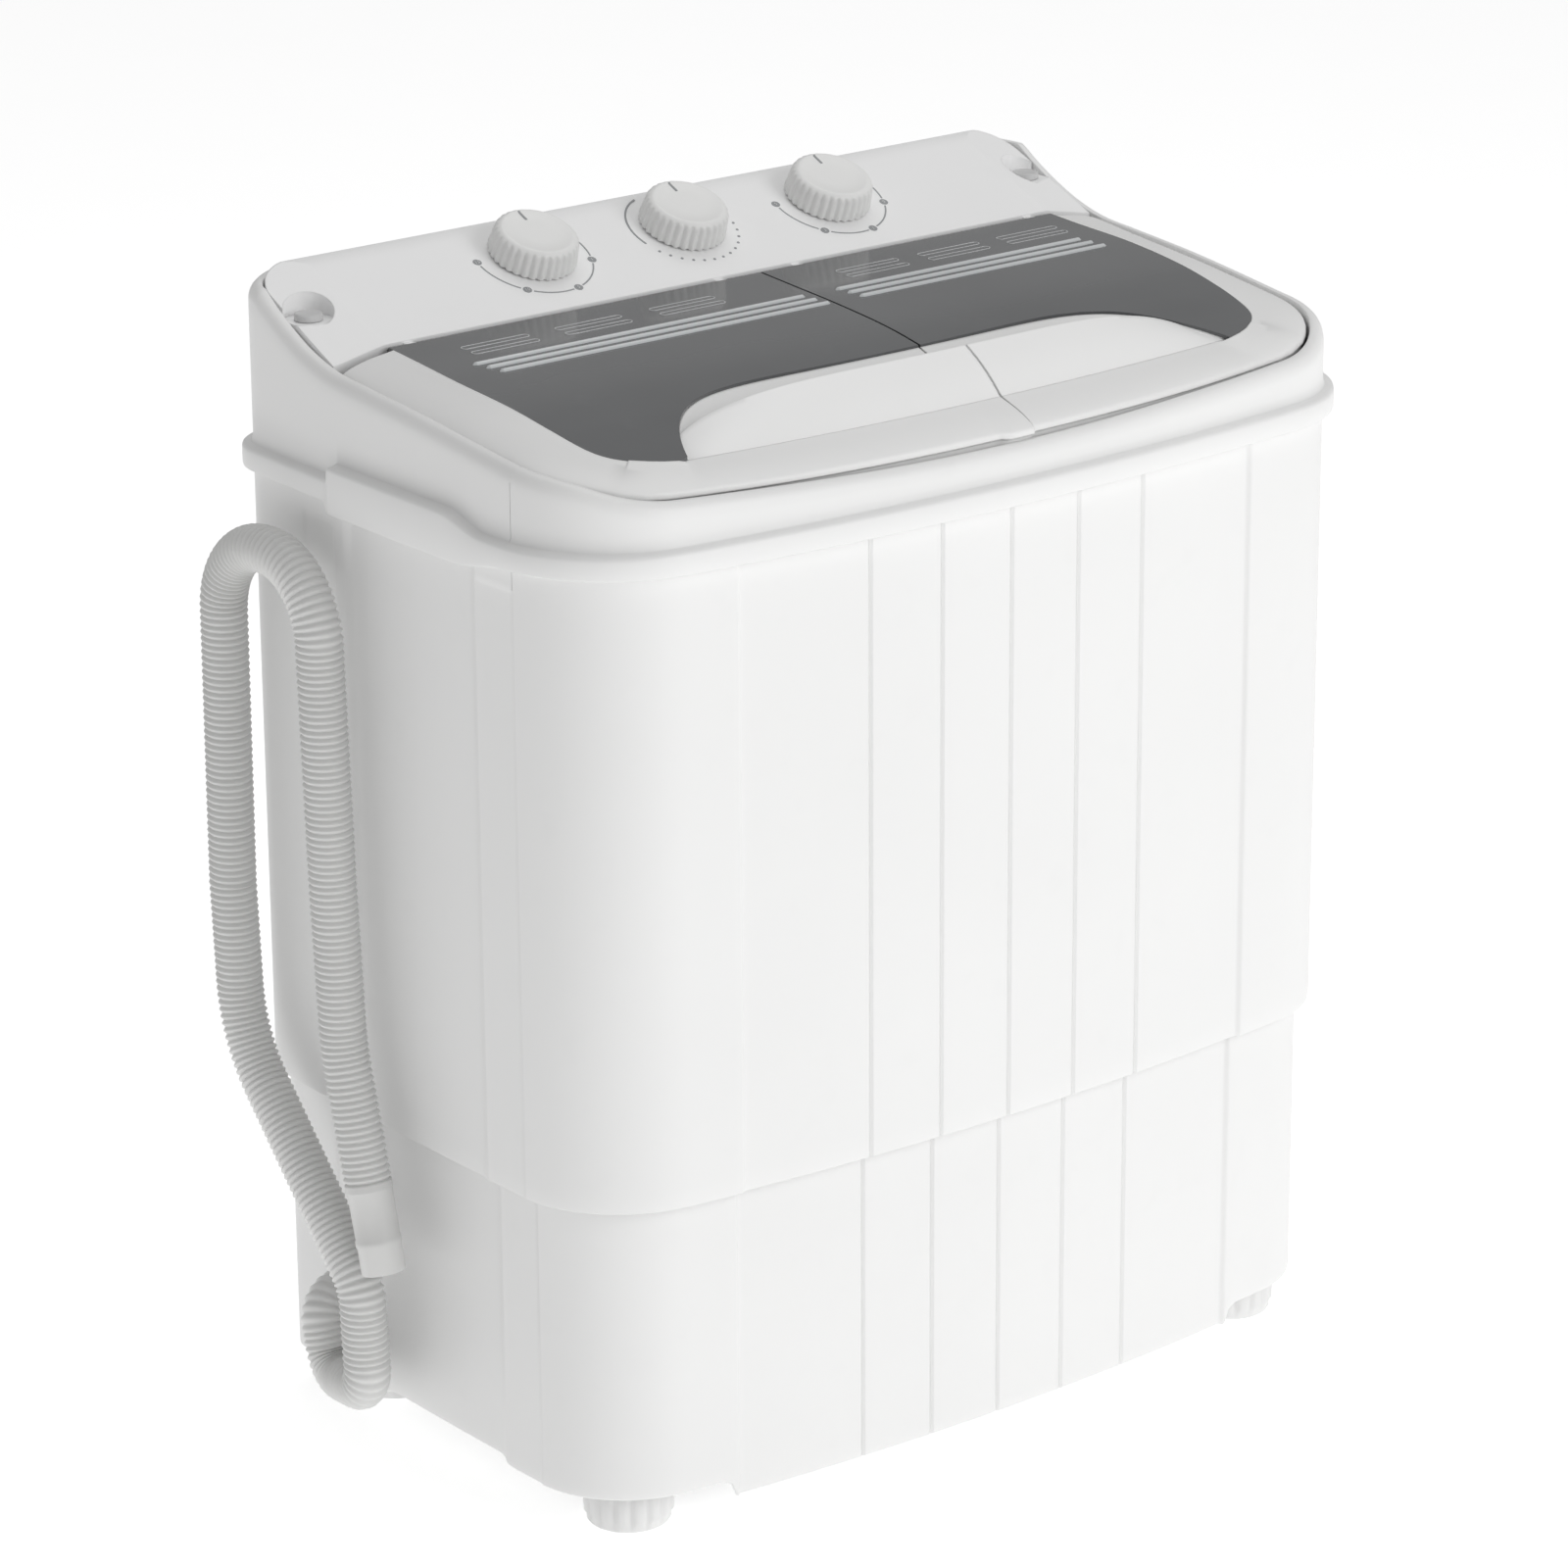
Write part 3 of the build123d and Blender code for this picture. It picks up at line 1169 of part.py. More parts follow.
# ---------------------------------------------------------------- feet and cord
for foot_name, foot_place in FOOT_PLACES.items():
    with BuildPart() as foot:
        with BuildSketch():
            with Locations(foot_place):
                Circle(FOOT_RADIUS - 2)
        extrude(amount=FOOT_PAD_HEIGHT)
        with BuildSketch(Plane.XY.offset(FOOT_PAD_HEIGHT)):
            with Locations(foot_place):
                Circle(FOOT_RADIUS)
                with PolarLocations(FOOT_RADIUS + 0.6, FOOT_FLUTES):
                    Circle(FOOT_FLUTE_RADIUS, mode=Mode.SUBTRACT)
        extrude(amount=FOOT_HEIGHT - FOOT_PAD_HEIGHT)
        with BuildSketch(Plane.XY.offset(FOOT_HEIGHT)):
            with Locations(foot_place):
                Circle(SHAFT_RADIUS)
        extrude(amount=FOOT_STEM_LENGTH)
    save(foot, foot_name)

CORD_EXIT = (200.0, 90.0)
CORD_RADIUS = 3.2
with BuildPart() as cord_gland:
    with BuildSketch(Plane.XZ.offset(-163)):
        with Locations(CORD_EXIT):
            Circle(7.9)
    extrude(amount=-8)
    with BuildSketch(Plane.XZ.offset(-167.2)):
        with Locations(CORD_EXIT):
            Circle(11)
    extrude(amount=-5)
    with BuildSketch(Plane.XZ.offset(-160)):
        with Locations(CORD_EXIT):
            Circle(CORD_RADIUS + 0.05)
    extrude(amount=-20, mode=Mode.SUBTRACT)
save(cord_gland, "cord_gland")

CORD_BACK_Y = 178.0
PLUG_X = 314.0
PLUG_Y = 60.0
CORD_START = ((CORD_EXIT[0], 160, CORD_EXIT[1]), (CORD_EXIT[0], CORD_BACK_Y, CORD_EXIT[1]),
              (257, CORD_BACK_Y, 75))
CORD_REST = ((257, CORD_BACK_Y, 75), (PLUG_X, CORD_BACK_Y, 60), (PLUG_X, CORD_BACK_Y, 5), (PLUG_X, PLUG_Y, 5),
             (PLUG_X, PLUG_Y, 80))
with BuildPart() as power_cord:
    with BuildLine() as cord_path:
        FilletPolyline(*CORD_START, radius=5)
        FilletPolyline(*CORD_REST, radius=20)
    with BuildSketch(Plane(origin=CORD_START[0], z_dir=(0, 1, 0))):
        Circle(CORD_RADIUS)
    sweep(path=cord_path.wires()[0])
save(power_cord, "power_cord")

with BuildPart() as power_plug:
    with BuildSketch(Plane.XY.offset(80.1)):
        with Locations((PLUG_X, PLUG_Y)):
            Circle(6)
    extrude(amount=14)
    with BuildSketch(Plane.XY.offset(94.1)):
        with Locations((PLUG_X, PLUG_Y)):
            RectangleRounded(28, 18, 5)
    extrude(amount=22)
    with BuildSketch(Plane.XY.offset(116.1)):
        with Locations((PLUG_X - 6.4, PLUG_Y), (PLUG_X + 6.4, PLUG_Y)):
            Rectangle(1.6, 6.4)
    extrude(amount=17)
save(power_plug, "power_plug")
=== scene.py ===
import json
import math

import bmesh
import bpy
from mathutils import Matrix, Vector


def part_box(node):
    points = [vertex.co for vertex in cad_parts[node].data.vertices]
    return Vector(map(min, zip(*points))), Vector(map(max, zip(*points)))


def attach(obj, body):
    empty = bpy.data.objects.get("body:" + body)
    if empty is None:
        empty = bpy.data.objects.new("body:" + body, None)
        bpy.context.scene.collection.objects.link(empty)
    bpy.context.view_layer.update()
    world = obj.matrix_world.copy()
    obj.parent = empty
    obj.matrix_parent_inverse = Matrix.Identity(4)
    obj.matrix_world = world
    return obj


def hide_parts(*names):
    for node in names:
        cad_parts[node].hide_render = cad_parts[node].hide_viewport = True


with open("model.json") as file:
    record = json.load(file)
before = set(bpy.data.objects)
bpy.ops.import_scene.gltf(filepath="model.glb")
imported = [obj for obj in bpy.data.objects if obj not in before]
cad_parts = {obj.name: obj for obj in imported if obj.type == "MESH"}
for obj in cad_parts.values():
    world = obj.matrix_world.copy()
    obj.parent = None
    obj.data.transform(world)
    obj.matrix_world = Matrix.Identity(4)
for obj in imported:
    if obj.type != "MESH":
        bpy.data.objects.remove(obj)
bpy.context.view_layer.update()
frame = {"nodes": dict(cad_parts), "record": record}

# Lengths are in millimetres, in the frame of the part; MM turns them into metres.
MM = 0.001
nodes = frame["nodes"]
slots = {entry["node"]: entry["material_slot"] for entry in frame["record"]["subparts"]}

# ---------------------------------------------------------------- finishes
BROAD_SCALE, BROAD_DETAIL = 7.0, 5.0
GRAIN_SCALE, GRAIN_DETAIL = 900.0, 2.0
RUB_SCALE, RUB_DETAIL = 38.0, 8.0
WEAR_STARTS, WEAR_FULL = 0.60, 0.74
BUMP_STRENGTH = 0.25
COAT_ROUGHNESS = 0.08


def finish_material(name, colour, rough, metal=0.0, mottle=0.03, bump=0.02, wear=0.10,
                    wear_colour=None, clear=0.0, edge=0.0012):
    """Procedural finish: colour and roughness vary, fine bump, faint wear, softened edges."""
    mat = bpy.data.materials.new(name)
    mat.use_nodes = True
    tree = mat.node_tree
    new, link = tree.nodes.new, tree.links.new
    shader = tree.nodes["Principled BSDF"]
    place = new("ShaderNodeTexCoord").outputs["Object"]

    def noise(scale, detail):
        node = new("ShaderNodeTexNoise")
        node.inputs["Scale"].default_value = scale
        node.inputs["Detail"].default_value = detail
        link(place, node.inputs["Vector"])
        return node.outputs["Fac"]

    broad = noise(BROAD_SCALE, BROAD_DETAIL)
    grain = noise(GRAIN_SCALE, GRAIN_DETAIL)
    rub = noise(RUB_SCALE, RUB_DETAIL)
    tint = new("ShaderNodeValToRGB")
    dark = [c * (1 - mottle) for c in colour]
    light = [min(1.0, c * (1 + mottle * 0.6)) for c in colour]
    for stop, position, shade in zip(tint.color_ramp.elements, (0.3, 0.7), (dark, light)):
        stop.position = position
        stop.color = (*shade, 1)
    link(broad, tint.inputs["Fac"])
    worn = new("ShaderNodeMapRange")
    worn.inputs["From Min"].default_value = WEAR_STARTS
    worn.inputs["From Max"].default_value = WEAR_FULL
    worn.inputs["To Max"].default_value = wear
    link(rub, worn.inputs["Value"])
    mix = new("ShaderNodeMix")
    mix.data_type = "RGBA"
    link(worn.outputs["Result"], mix.inputs["Factor"])
    link(tint.outputs["Color"], mix.inputs["A"])
    mix.inputs["B"].default_value = (*(wear_colour or [c * 0.8 for c in colour]), 1)
    link(mix.outputs["Result"], shader.inputs["Base Color"])
    gloss = new("ShaderNodeMapRange")
    gloss.inputs["To Min"].default_value = rough * 0.85
    gloss.inputs["To Max"].default_value = min(1.0, rough * 1.2)
    link(broad, gloss.inputs["Value"])
    link(gloss.outputs["Result"], shader.inputs["Roughness"])
    round_edges = new("ShaderNodeBevel")
    round_edges.samples = 4
    round_edges.inputs["Radius"].default_value = edge
    relief = new("ShaderNodeBump")
    relief.inputs["Strength"].default_value = BUMP_STRENGTH
    relief.inputs["Distance"].default_value = bump * MM
    link(grain, relief.inputs["Height"])
    link(round_edges.outputs["Normal"], relief.inputs["Normal"])
    link(relief.outputs["Normal"], shader.inputs["Normal"])
    shader.inputs["Metallic"].default_value = metal
    shader.inputs["Coat Weight"].default_value = clear
    shader.inputs["Coat Roughness"].default_value = COAT_ROUGHNESS
    return mat


FINISH_SETTINGS = {
    "white_shell": dict(colour=(0.86, 0.86, 0.855), rough=0.42, mottle=0.012, wear=0.05),
    # console_white and handle_white are lighter than white_shell: painted light, the extra brightness these
    # faces catch from the lights, put into their colour.
    "console_white": dict(colour=(0.94, 0.94, 0.94), rough=0.40, mottle=0.010, wear=0.04),
    "handle_white": dict(colour=(0.93, 0.93, 0.925), rough=0.33, mottle=0.010, wear=0.04),
    "smoked_window": dict(colour=(0.105, 0.108, 0.112), rough=0.16, mottle=0.12, wear=0.12,
                          wear_colour=(0.16, 0.163, 0.168), clear=0.5, edge=0.0006, bump=0.008),
    "knob_white": dict(colour=(0.88, 0.88, 0.87), rough=0.38, mottle=0.012, wear=0.05, edge=0.0008),
    "cap_grey": dict(colour=(0.62, 0.62, 0.62), rough=0.45, wear=0.10),
    "back_panel": dict(colour=(0.76, 0.76, 0.75), rough=0.55, wear=0.12, bump=0.05),
    "screw_steel": dict(colour=(0.60, 0.60, 0.61), rough=0.30, metal=1.0, wear=0.3, edge=0.0004),
    "shaft_steel": dict(colour=(0.62, 0.62, 0.63), rough=0.24, metal=1.0, wear=0.25, edge=0.0004),
    "timer_body": dict(colour=(0.72, 0.70, 0.60), rough=0.55, mottle=0.05),
    "tub_white": dict(colour=(0.80, 0.81, 0.82), rough=0.35, mottle=0.02),
    "bronze": dict(colour=(0.50, 0.35, 0.16), rough=0.35, metal=1.0, wear=0.3, edge=0.0003),
    "pulsator_grey": dict(colour=(0.58, 0.62, 0.66), rough=0.34, mottle=0.03),
    "basket_white": dict(colour=(0.82, 0.83, 0.84), rough=0.33, mottle=0.02),
    "pulley_black": dict(colour=(0.05, 0.05, 0.05), rough=0.50, mottle=0.2, wear_colour=(0.1, 0.1, 0.1)),
    "pulley_aluminium": dict(colour=(0.62, 0.62, 0.63), rough=0.38, metal=1.0, bump=0.06),
    "belt_rubber": dict(colour=(0.02, 0.02, 0.02), rough=0.75, mottle=0.3, wear_colour=(0.07, 0.07, 0.07)),
    "mount_rubber": dict(colour=(0.03, 0.03, 0.03), rough=0.8, mottle=0.3, wear_colour=(0.08, 0.08, 0.08)),
    "motor_steel": dict(colour=(0.16, 0.17, 0.18), rough=0.48, metal=0.3, mottle=0.12),
    "plate_zinc": dict(colour=(0.58, 0.59, 0.58), rough=0.36, metal=1.0, mottle=0.15, wear=0.3),
    "drum_iron": dict(colour=(0.24, 0.24, 0.24), rough=0.6, metal=0.8, mottle=0.2, bump=0.08),
    "pipe_grey": dict(colour=(0.42, 0.43, 0.44), rough=0.5, mottle=0.06),
    "capacitor_black": dict(colour=(0.04, 0.04, 0.045), rough=0.42, mottle=0.2),
    "hose_grey": dict(colour=(0.74, 0.74, 0.73), rough=0.42, mottle=0.03, wear=0.10, edge=0.0003),
    "cuff_grey": dict(colour=(0.72, 0.72, 0.71), rough=0.40, mottle=0.02, wear=0.08),
    "foot_white": dict(colour=(0.80, 0.80, 0.795), rough=0.45, mottle=0.02, wear=0.15),
    "cord_grey": dict(colour=(0.28, 0.28, 0.29), rough=0.5, mottle=0.08),
}
FINISHES = {name: finish_material(name, **settings) for name, settings in FINISH_SETTINGS.items()}
MARK_GREY = finish_material("mark_grey", (0.33, 0.34, 0.35), 0.5, mottle=0.05, wear=0.1, edge=0.0001)
# Ridges and vent lines are moulded in the smoked window; their light grey is a painted highlight, the bright
# lines their edges catch.
RIDGE_PAINTED_HIGHLIGHT = finish_material("ridge_painted_highlight", (0.66, 0.68, 0.69), 0.10, mottle=0.08, clear=0.8, edge=0.0003)
VENT_PAINTED_HIGHLIGHT = finish_material("vent_line_painted_highlight", (0.70, 0.71, 0.72), 0.22, mottle=0.08, clear=0.4, edge=0.0002)

for node_name, node in nodes.items():
    node.data.materials.clear()
    node.data.materials.append(FINISHES[slots[node_name]])

# ---------------------------------------------------------------- mesh helpers
WELD_DISTANCE = 0.00001


def piece(name, verts, faces, body, finish, slot, stands_for=(), sharp=32.0):
    """Mesh object from millimetre vertices that rides on a CAD body."""
    mesh = bpy.data.meshes.new(name)
    mesh.from_pydata([Vector(v) * MM for v in verts], [], faces)
    work = bmesh.new()
    work.from_mesh(mesh)
    bmesh.ops.remove_doubles(work, verts=work.verts, dist=WELD_DISTANCE)
    bmesh.ops.recalc_face_normals(work, faces=work.faces)
    work.to_mesh(mesh)
    work.free()
    mesh.shade_smooth()
    mesh.set_sharp_from_angle(angle=math.radians(sharp))
    mesh.materials.append(finish)
    obj = bpy.data.objects.new(name, mesh)
    bpy.context.scene.collection.objects.link(obj)
    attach(obj, body)
    if stands_for:
        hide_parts(*stands_for)
    return obj


def loft(sections, closed_section=True, closed_path=False, caps=True):
    """Quads between equal-length point rows; returns vertices and faces."""
    verts, faces = [], []
    count = len(sections[0])
    for row in sections:
        verts.extend(row)
    rows = len(sections)
    around = count if closed_section else count - 1
    along = rows if closed_path else rows - 1
    for i in range(along):
        for j in range(around):
            a = i * count + j
            b = i * count + (j + 1) % count
            c = ((i + 1) % rows) * count + (j + 1) % count
            d = ((i + 1) % rows) * count + j
            faces.append((a, b, c, d))
    if caps and closed_section and not closed_path:
        faces.append(tuple(range(count)))
        faces.append(tuple(range((rows - 1) * count, rows * count)))
    return verts, faces


def merge(parts):
    """Joins several (vertices, faces) pairs."""
    verts, faces = [], []
    for v, f in parts:
        base = len(verts)
        verts.extend(v)
        faces.extend(tuple(i + base for i in face) for face in f)
    return verts, faces


def smooth_curve(points):
    """Smooth function through (u, value) points, u rising."""
    us = [p[0] for p in points]
    vs = [p[1] for p in points]
    slopes = []
    for i in range(len(points)):
        lo, hi = max(0, i - 1), min(len(points) - 1, i + 1)
        slopes.append((vs[hi] - vs[lo]) / (us[hi] - us[lo]))

    def value(u):
        u = min(max(u, us[0]), us[-1])
        k = max(i for i in range(len(us) - 1) if us[i] <= u or i == 0)
        h = us[k + 1] - us[k]
        t = (u - us[k]) / h
        return ((2 * t**3 - 3 * t**2 + 1) * vs[k] + (t**3 - 2 * t**2 + t) * h * slopes[k]
                + (3 * t**2 - 2 * t**3) * vs[k + 1] + (t**3 - t**2) * h * slopes[k + 1])
    return value


def linspace(a, b, n):
    """n values from a to b at equal steps."""
    return [a + (b - a) * i / (n - 1) for i in range(n)]


def full_turn(count):
    """Equally spaced angles round a circle."""
    return [2 * math.pi * k / count for k in range(count)]


def rounded_path(points, radii, step):
    """Points along straight runs joined by arcs, one radius for each corner."""
    points = [Vector(p) for p in points]
    path = [points[0]]
    for before, corner, after, radius in zip(points, points[1:], points[2:], radii):
        a = (before - corner).normalized()
        b = (after - corner).normalized()
        half = math.acos(max(-1.0, min(1.0, a.dot(b)))) / 2
        reach = radius / math.tan(half)
        if reach < 0.05:
            path.append(corner)
            continue
        start, end = corner + a * reach, corner + b * reach
        centre = corner + (a + b).normalized() * (radius / math.sin(half))
        sweep = math.pi - 2 * half
        arms = start - centre, end - centre
        n = max(3, int(sweep * radius / step))
        for i in range(n + 1):
            t = i / n
            mixed = (arms[0] * math.sin((1 - t) * sweep) + arms[1] * math.sin(t * sweep)) / math.sin(sweep)
            path.append(centre + mixed)
    path.append(points[-1])
    return path


def resample(path, step):
    """Points at equal steps along a path, with their distances."""
    out, run, target = [(path[0], 0.0)], 0.0, step
    for a, b in zip(path, path[1:]):
        length = (b - a).length
        while length > 0 and run + length >= target:
            out.append((a + (b - a) * ((target - run) / length), target))
            target += step
        run += length
    return out


def tube(path, radii, sides):
    """Rings of given radii along a path, kept from twisting."""
    rings = []
    across = None
    for i, centre in enumerate(path):
        ahead = (path[min(i + 1, len(path) - 1)] - path[max(i - 1, 0)]).normalized()
        if across is None:
            across = ahead.orthogonal().normalized()
        across = (across - ahead * across.dot(ahead)).normalized()
        other = ahead.cross(across)
        rings.append([centre + (across * math.cos(a) + other * math.sin(a)) * radii[i]
                      for a in full_turn(sides)])
    return rings


# ---------------------------------------------------------------- housing plan
HALF_WIDTH, HALF_DEPTH = 295.0, 181.4
FRONT_BOW, SIDE_BOW = 23.2, 4.0
FRONT_CORNER, BACK_CORNER = 79.5, 36.1
SEAM = 15.8
FRONT_CORNER_POINTS, SIDE_POINTS, BACK_CORNER_POINTS, BACK_POINTS = 26, 46, 14, 22


def circle_through(a, b, c):
    """Centre and radius of the circle through three plan points."""
    ax, ay = a
    bx, by = b
    cx, cy = c
    d = 2 * (ax * (by - cy) + bx * (cy - ay) + cx * (ay - by))
    ux = ((ax**2 + ay**2) * (by - cy) + (bx**2 + by**2) * (cy - ay) + (cx**2 + cy**2) * (ay - by)) / d
    uy = ((ax**2 + ay**2) * (cx - bx) + (bx**2 + by**2) * (ax - cx) + (cx**2 + cy**2) * (bx - ax)) / d
    return ux, uy, math.hypot(ax - ux, ay - uy)


def outline(inset, front_step=6.0):
    """Plan points of the housing at an inset, anticlockwise from the middle of the front."""
    side = HALF_WIDTH - inset
    corner_x = side - SIDE_BOW
    front = inset - HALF_DEPTH
    back = HALF_DEPTH - inset
    corner_y = front + FRONT_BOW
    fx, fy, fr = circle_through((-corner_x, corner_y), (0, front), (corner_x, corner_y))
    sx, sy, sr = circle_through((corner_x, corner_y), (side, 0), (corner_x, back))
    r = FRONT_CORNER - inset
    # front corner centre: r inside both the front circle and the side circle
    cx, cy = side - r, corner_y + r
    for _ in range(60):
        to_front = math.hypot(cx - fx, cy - fy) - (fr - r)
        to_side = math.hypot(cx - sx, cy - sy) - (sr - r)
        cy += to_front
        cx -= to_side
    front_end = math.atan2(cy - fy, cx - fx)
    side_start = math.atan2(cy - sy, cx - sx)
    rb = BACK_CORNER - inset
    by = back - rb
    bx = sx + math.sqrt((sr - rb) ** 2 - (by - sy) ** 2)
    side_end = math.atan2(by - sy, bx - sx)
    right = []
    last_x = fx + fr * math.cos(front_end)
    for k in range(int(last_x / front_step)):
        x = k * front_step
        right.append((x, fy - math.sqrt(fr**2 - (x - fx) ** 2)))
    for a in linspace(front_end, side_start, FRONT_CORNER_POINTS):
        right.append((cx + r * math.cos(a), cy + r * math.sin(a)))
    for a in linspace(side_start, side_end, SIDE_POINTS)[1:]:
        right.append((sx + sr * math.cos(a), sy + sr * math.sin(a)))
    for a in linspace(side_end, math.pi / 2, BACK_CORNER_POINTS)[1:]:
        right.append((bx + rb * math.cos(a), by + rb * math.sin(a)))
    for x in linspace(bx, 0, BACK_POINTS)[1:]:
        right.append((x, back))
    left = [(-x, y) for x, y in reversed(right[1:-1])]
    return right + left


def side_x(inset, y):
    """Half-width of the plan at y."""
    pts = [p for p in outline(inset) if p[0] > 0]
    for (x1, y1), (x2, y2) in zip(pts, pts[1:]):
        if y1 <= y <= y2 and y2 > y1:
            return x1 + (x2 - x1) * (y - y1) / (y2 - y1)
    return pts[-1][0]


# ---------------------------------------------------------------- housing shells
SHELL_INSET, BASE_INSET, PANEL_STEP, WALL = 6.5, 14.8, 2.2, 2.5
COLUMN_X, GROOVES = 187.0, (-100.0, -50.0, 0.0, 50.0, 100.0)
SIDE_RECESS = (-59.0, 60.5)
FRONT_STRIP = (-94.5, -62.0)
REAR_STRIP = (73.5, 103.5)
GRIP_EDGES = (-76.0, -46.0, 64.0, 68.0, 71.0, 74.0)
GROOVE_DEPTH, GROOVE_HALF, STRIP_DEPTH = 1.4, 1.6, 0.9
PANEL_EASE, RECESS_EASE, STRIP_EASE = 3.0, 9.0, 4.5
SHELL_BOTTOM, SHELL_TOP, STRIP_TOP = 204.7, 573.4, 561.0
SKIRT_Z, SKIRT_DROP, SKIRT_RISE = 26.0, 11.2, 4.5
FLOOR_Z, FLOOR_TOP, FLOOR_RIM, BASE_TOP, ABOVE_BASE = 40.0, 43.0, 60.0, 222.0, 400.0
COLLAR_BOTTOM, COLLAR_TOP, GRIP_DROP, GRIP_RISE, GRIP_PROUD = 572.6, 586.4, 6.0, 8.0, 1.5
RIDGE_Z, RIDGE_HALF, RIDGE_FALL = 688.0, 217.0, 0.1438


def ramp(value, lo, hi):
    """Smooth 0 to 1 between lo and hi, in either direction."""
    t = min(1.0, max(0.0, (value - lo) / (hi - lo)))
    return t * t * (3 - 2 * t)


def between(value, lo, hi, blend):
    """1 inside a span, easing to 0 over blend on both sides."""
    return ramp(value, lo - blend / 2, lo + blend / 2) * (1 - ramp(value, hi - blend / 2, hi + blend / 2))


def on_front(y):
    """True on the bowed front wall."""
    return y < -100


def on_side(x, y):
    """True on the side walls, short of the back corners."""
    return abs(x) > 255 and y < 150


def with_crossings(points, values, axis, keep):
    """Adds points where the closed outline crosses the given x or y values."""
    out = []
    for p, q in zip(points, points[1:] + points[:1]):
        out.append(p)
        if keep(p) and keep(q):
            hits = [v for v in values if min(p[axis], q[axis]) + 0.05 < v < max(p[axis], q[axis]) - 0.05]
            for v in sorted(hits, reverse=p[axis] > q[axis]):
                t = (v - p[axis]) / (q[axis] - p[axis])
                out.append((p[0] + (q[0] - p[0]) * t, p[1] + (q[1] - p[1]) * t))
    return out


def plan_stations():
    """Outline points with inward directions, dense where panels step or grooves run."""
    points = outline(0.0)
    front_x = []
    for g in GROOVES:
        front_x += [g - GROOVE_HALF, g - 0.7, g, g + 0.7, g + GROOVE_HALF]
    for edge in (-COLUMN_X, COLUMN_X):
        front_x += [edge + d for d in (-2.0, -1.0, -0.3, 0.3, 1.0, 2.0)]
    side_y = []
    for edge in SIDE_RECESS + FRONT_STRIP + REAR_STRIP + GRIP_EDGES:
        side_y += [edge + d for d in (-2.2, -1.2, -0.4, 0.4, 1.2, 2.2)]
    points = with_crossings(points, front_x, 0, lambda p: p[1] < -120)
    points = with_crossings(points, side_y, 1, lambda p: abs(p[0]) > 260)
    stations = []
    for i, p in enumerate(points):
        q, o = points[(i + 1) % len(points)], points[i - 1]
        tx, ty = q[0] - o[0], q[1] - o[1]
        size = math.hypot(tx, ty)
        stations.append((p[0], p[1], -ty / size, tx / size))
    return stations


STATIONS = plan_stations()


def panel_depth(x, y, z, strip_top):
    """How far the surface lies behind the corner columns."""
    if on_front(y) and abs(x) < COLUMN_X + 3:
        depth = PANEL_STEP * between(x, -COLUMN_X, COLUMN_X, PANEL_EASE)
        for g in GROOVES:
            depth += GROOVE_DEPTH * max(0.0, 1 - abs(x - g) / GROOVE_HALF)
        return depth
    if on_side(x, y):
        below = 1 - ramp(z, strip_top - 4, strip_top)
        depth = PANEL_STEP * between(y, *SIDE_RECESS, RECESS_EASE)
        for strip in (FRONT_STRIP, REAR_STRIP):
            depth += STRIP_DEPTH * between(y, *strip, STRIP_EASE) * below
        return depth
    return 0.0


def ring_shell(name, profile, slot, stands_for, sharp=38.0):
    """Closed shell: profile(x, y) gives (inset, z) pairs round a closed section at each station."""
    sections = []
    for x, y, nx, ny in STATIONS:
        sections.append([(x + nx * inset, y + ny * inset, z) for inset, z in profile(x, y)])
    verts, faces = loft(sections, closed_path=True)
    return piece(name, verts, faces, "housing", FINISHES[slot], slot, stands_for, sharp)


def body_profile(x, y):
    """Upper shell: outer wall with its panels, plain inner wall."""
    levels = (206.2, 216.0, 300.0, 400.0, 500.0, 548.0, 556.5, 558.0, 559.5, STRIP_TOP, 563.0, SHELL_TOP)
    outer = [(SHELL_INSET + panel_depth(x, y, z, STRIP_TOP), z) for z in levels]
    low = SHELL_INSET + panel_depth(x, y, SHELL_BOTTOM, STRIP_TOP)
    steps = ((WALL, 1.3), (WALL - 0.4, 0.2), (0.9, 0.0), (0.25, 0.4))
    edge = [(low + step, SHELL_BOTTOM + rise) for step, rise in steps]
    return edge + outer + [(SHELL_INSET + PANEL_STEP + WALL, SHELL_TOP)]


def base_bottom(x, y):
    """Height of the skirt's lower edge: lower between the corners, higher at the side recess."""
    if on_side(x, y):
        return SKIRT_Z + SKIRT_RISE * between(y, *SIDE_RECESS, 14.0)
    return SKIRT_Z - SKIRT_DROP * between(x, -COLUMN_X - 4, COLUMN_X + 4, 6.0)


def base_profile(x, y):
    """Base housing: skirt with its panels, inner wall and a rim of floor."""
    low = base_bottom(x, y)
    levels = (low + 1.4, low + 8, 60.0, 120.0, 180.0, 212.0, BASE_TOP)
    outer = [(BASE_INSET + panel_depth(x, y, z, ABOVE_BASE), z) for z in levels]
    foot = BASE_INSET + panel_depth(x, y, low, ABOVE_BASE)
    inner = BASE_INSET + PANEL_STEP + WALL
    steps = ((WALL, 1.2), (WALL - 0.5, 0.1), (0.9, 0.0), (0.25, 0.5))
    edge = [(foot + step, low + rise) for step, rise in steps]
    rim = [(inner, FLOOR_TOP), (FLOOR_RIM, FLOOR_TOP), (FLOOR_RIM, FLOOR_Z), (inner, FLOOR_Z)]
    return edge + outer + [(inner, BASE_TOP)] + rim


# Height of the cover's rim along its depth (y, z).
COVER_TOP = smooth_curve((
    (-184.0, 604.0), (-174.0, 609.3), (-160.0, 614.8), (-133.0, 623.6), (-81.0, 629.6), (-8.0, 637.8),
    (48.0, 642.4), (76.0, 645.0), (99.0, 651.0), (118.0, 659.0), (135.0, 668.0), (150.0, 677.5),
    (160.0, 683.5), (168.0, 685.6), (176.0, 684.4), (184.0, 682.0),
))


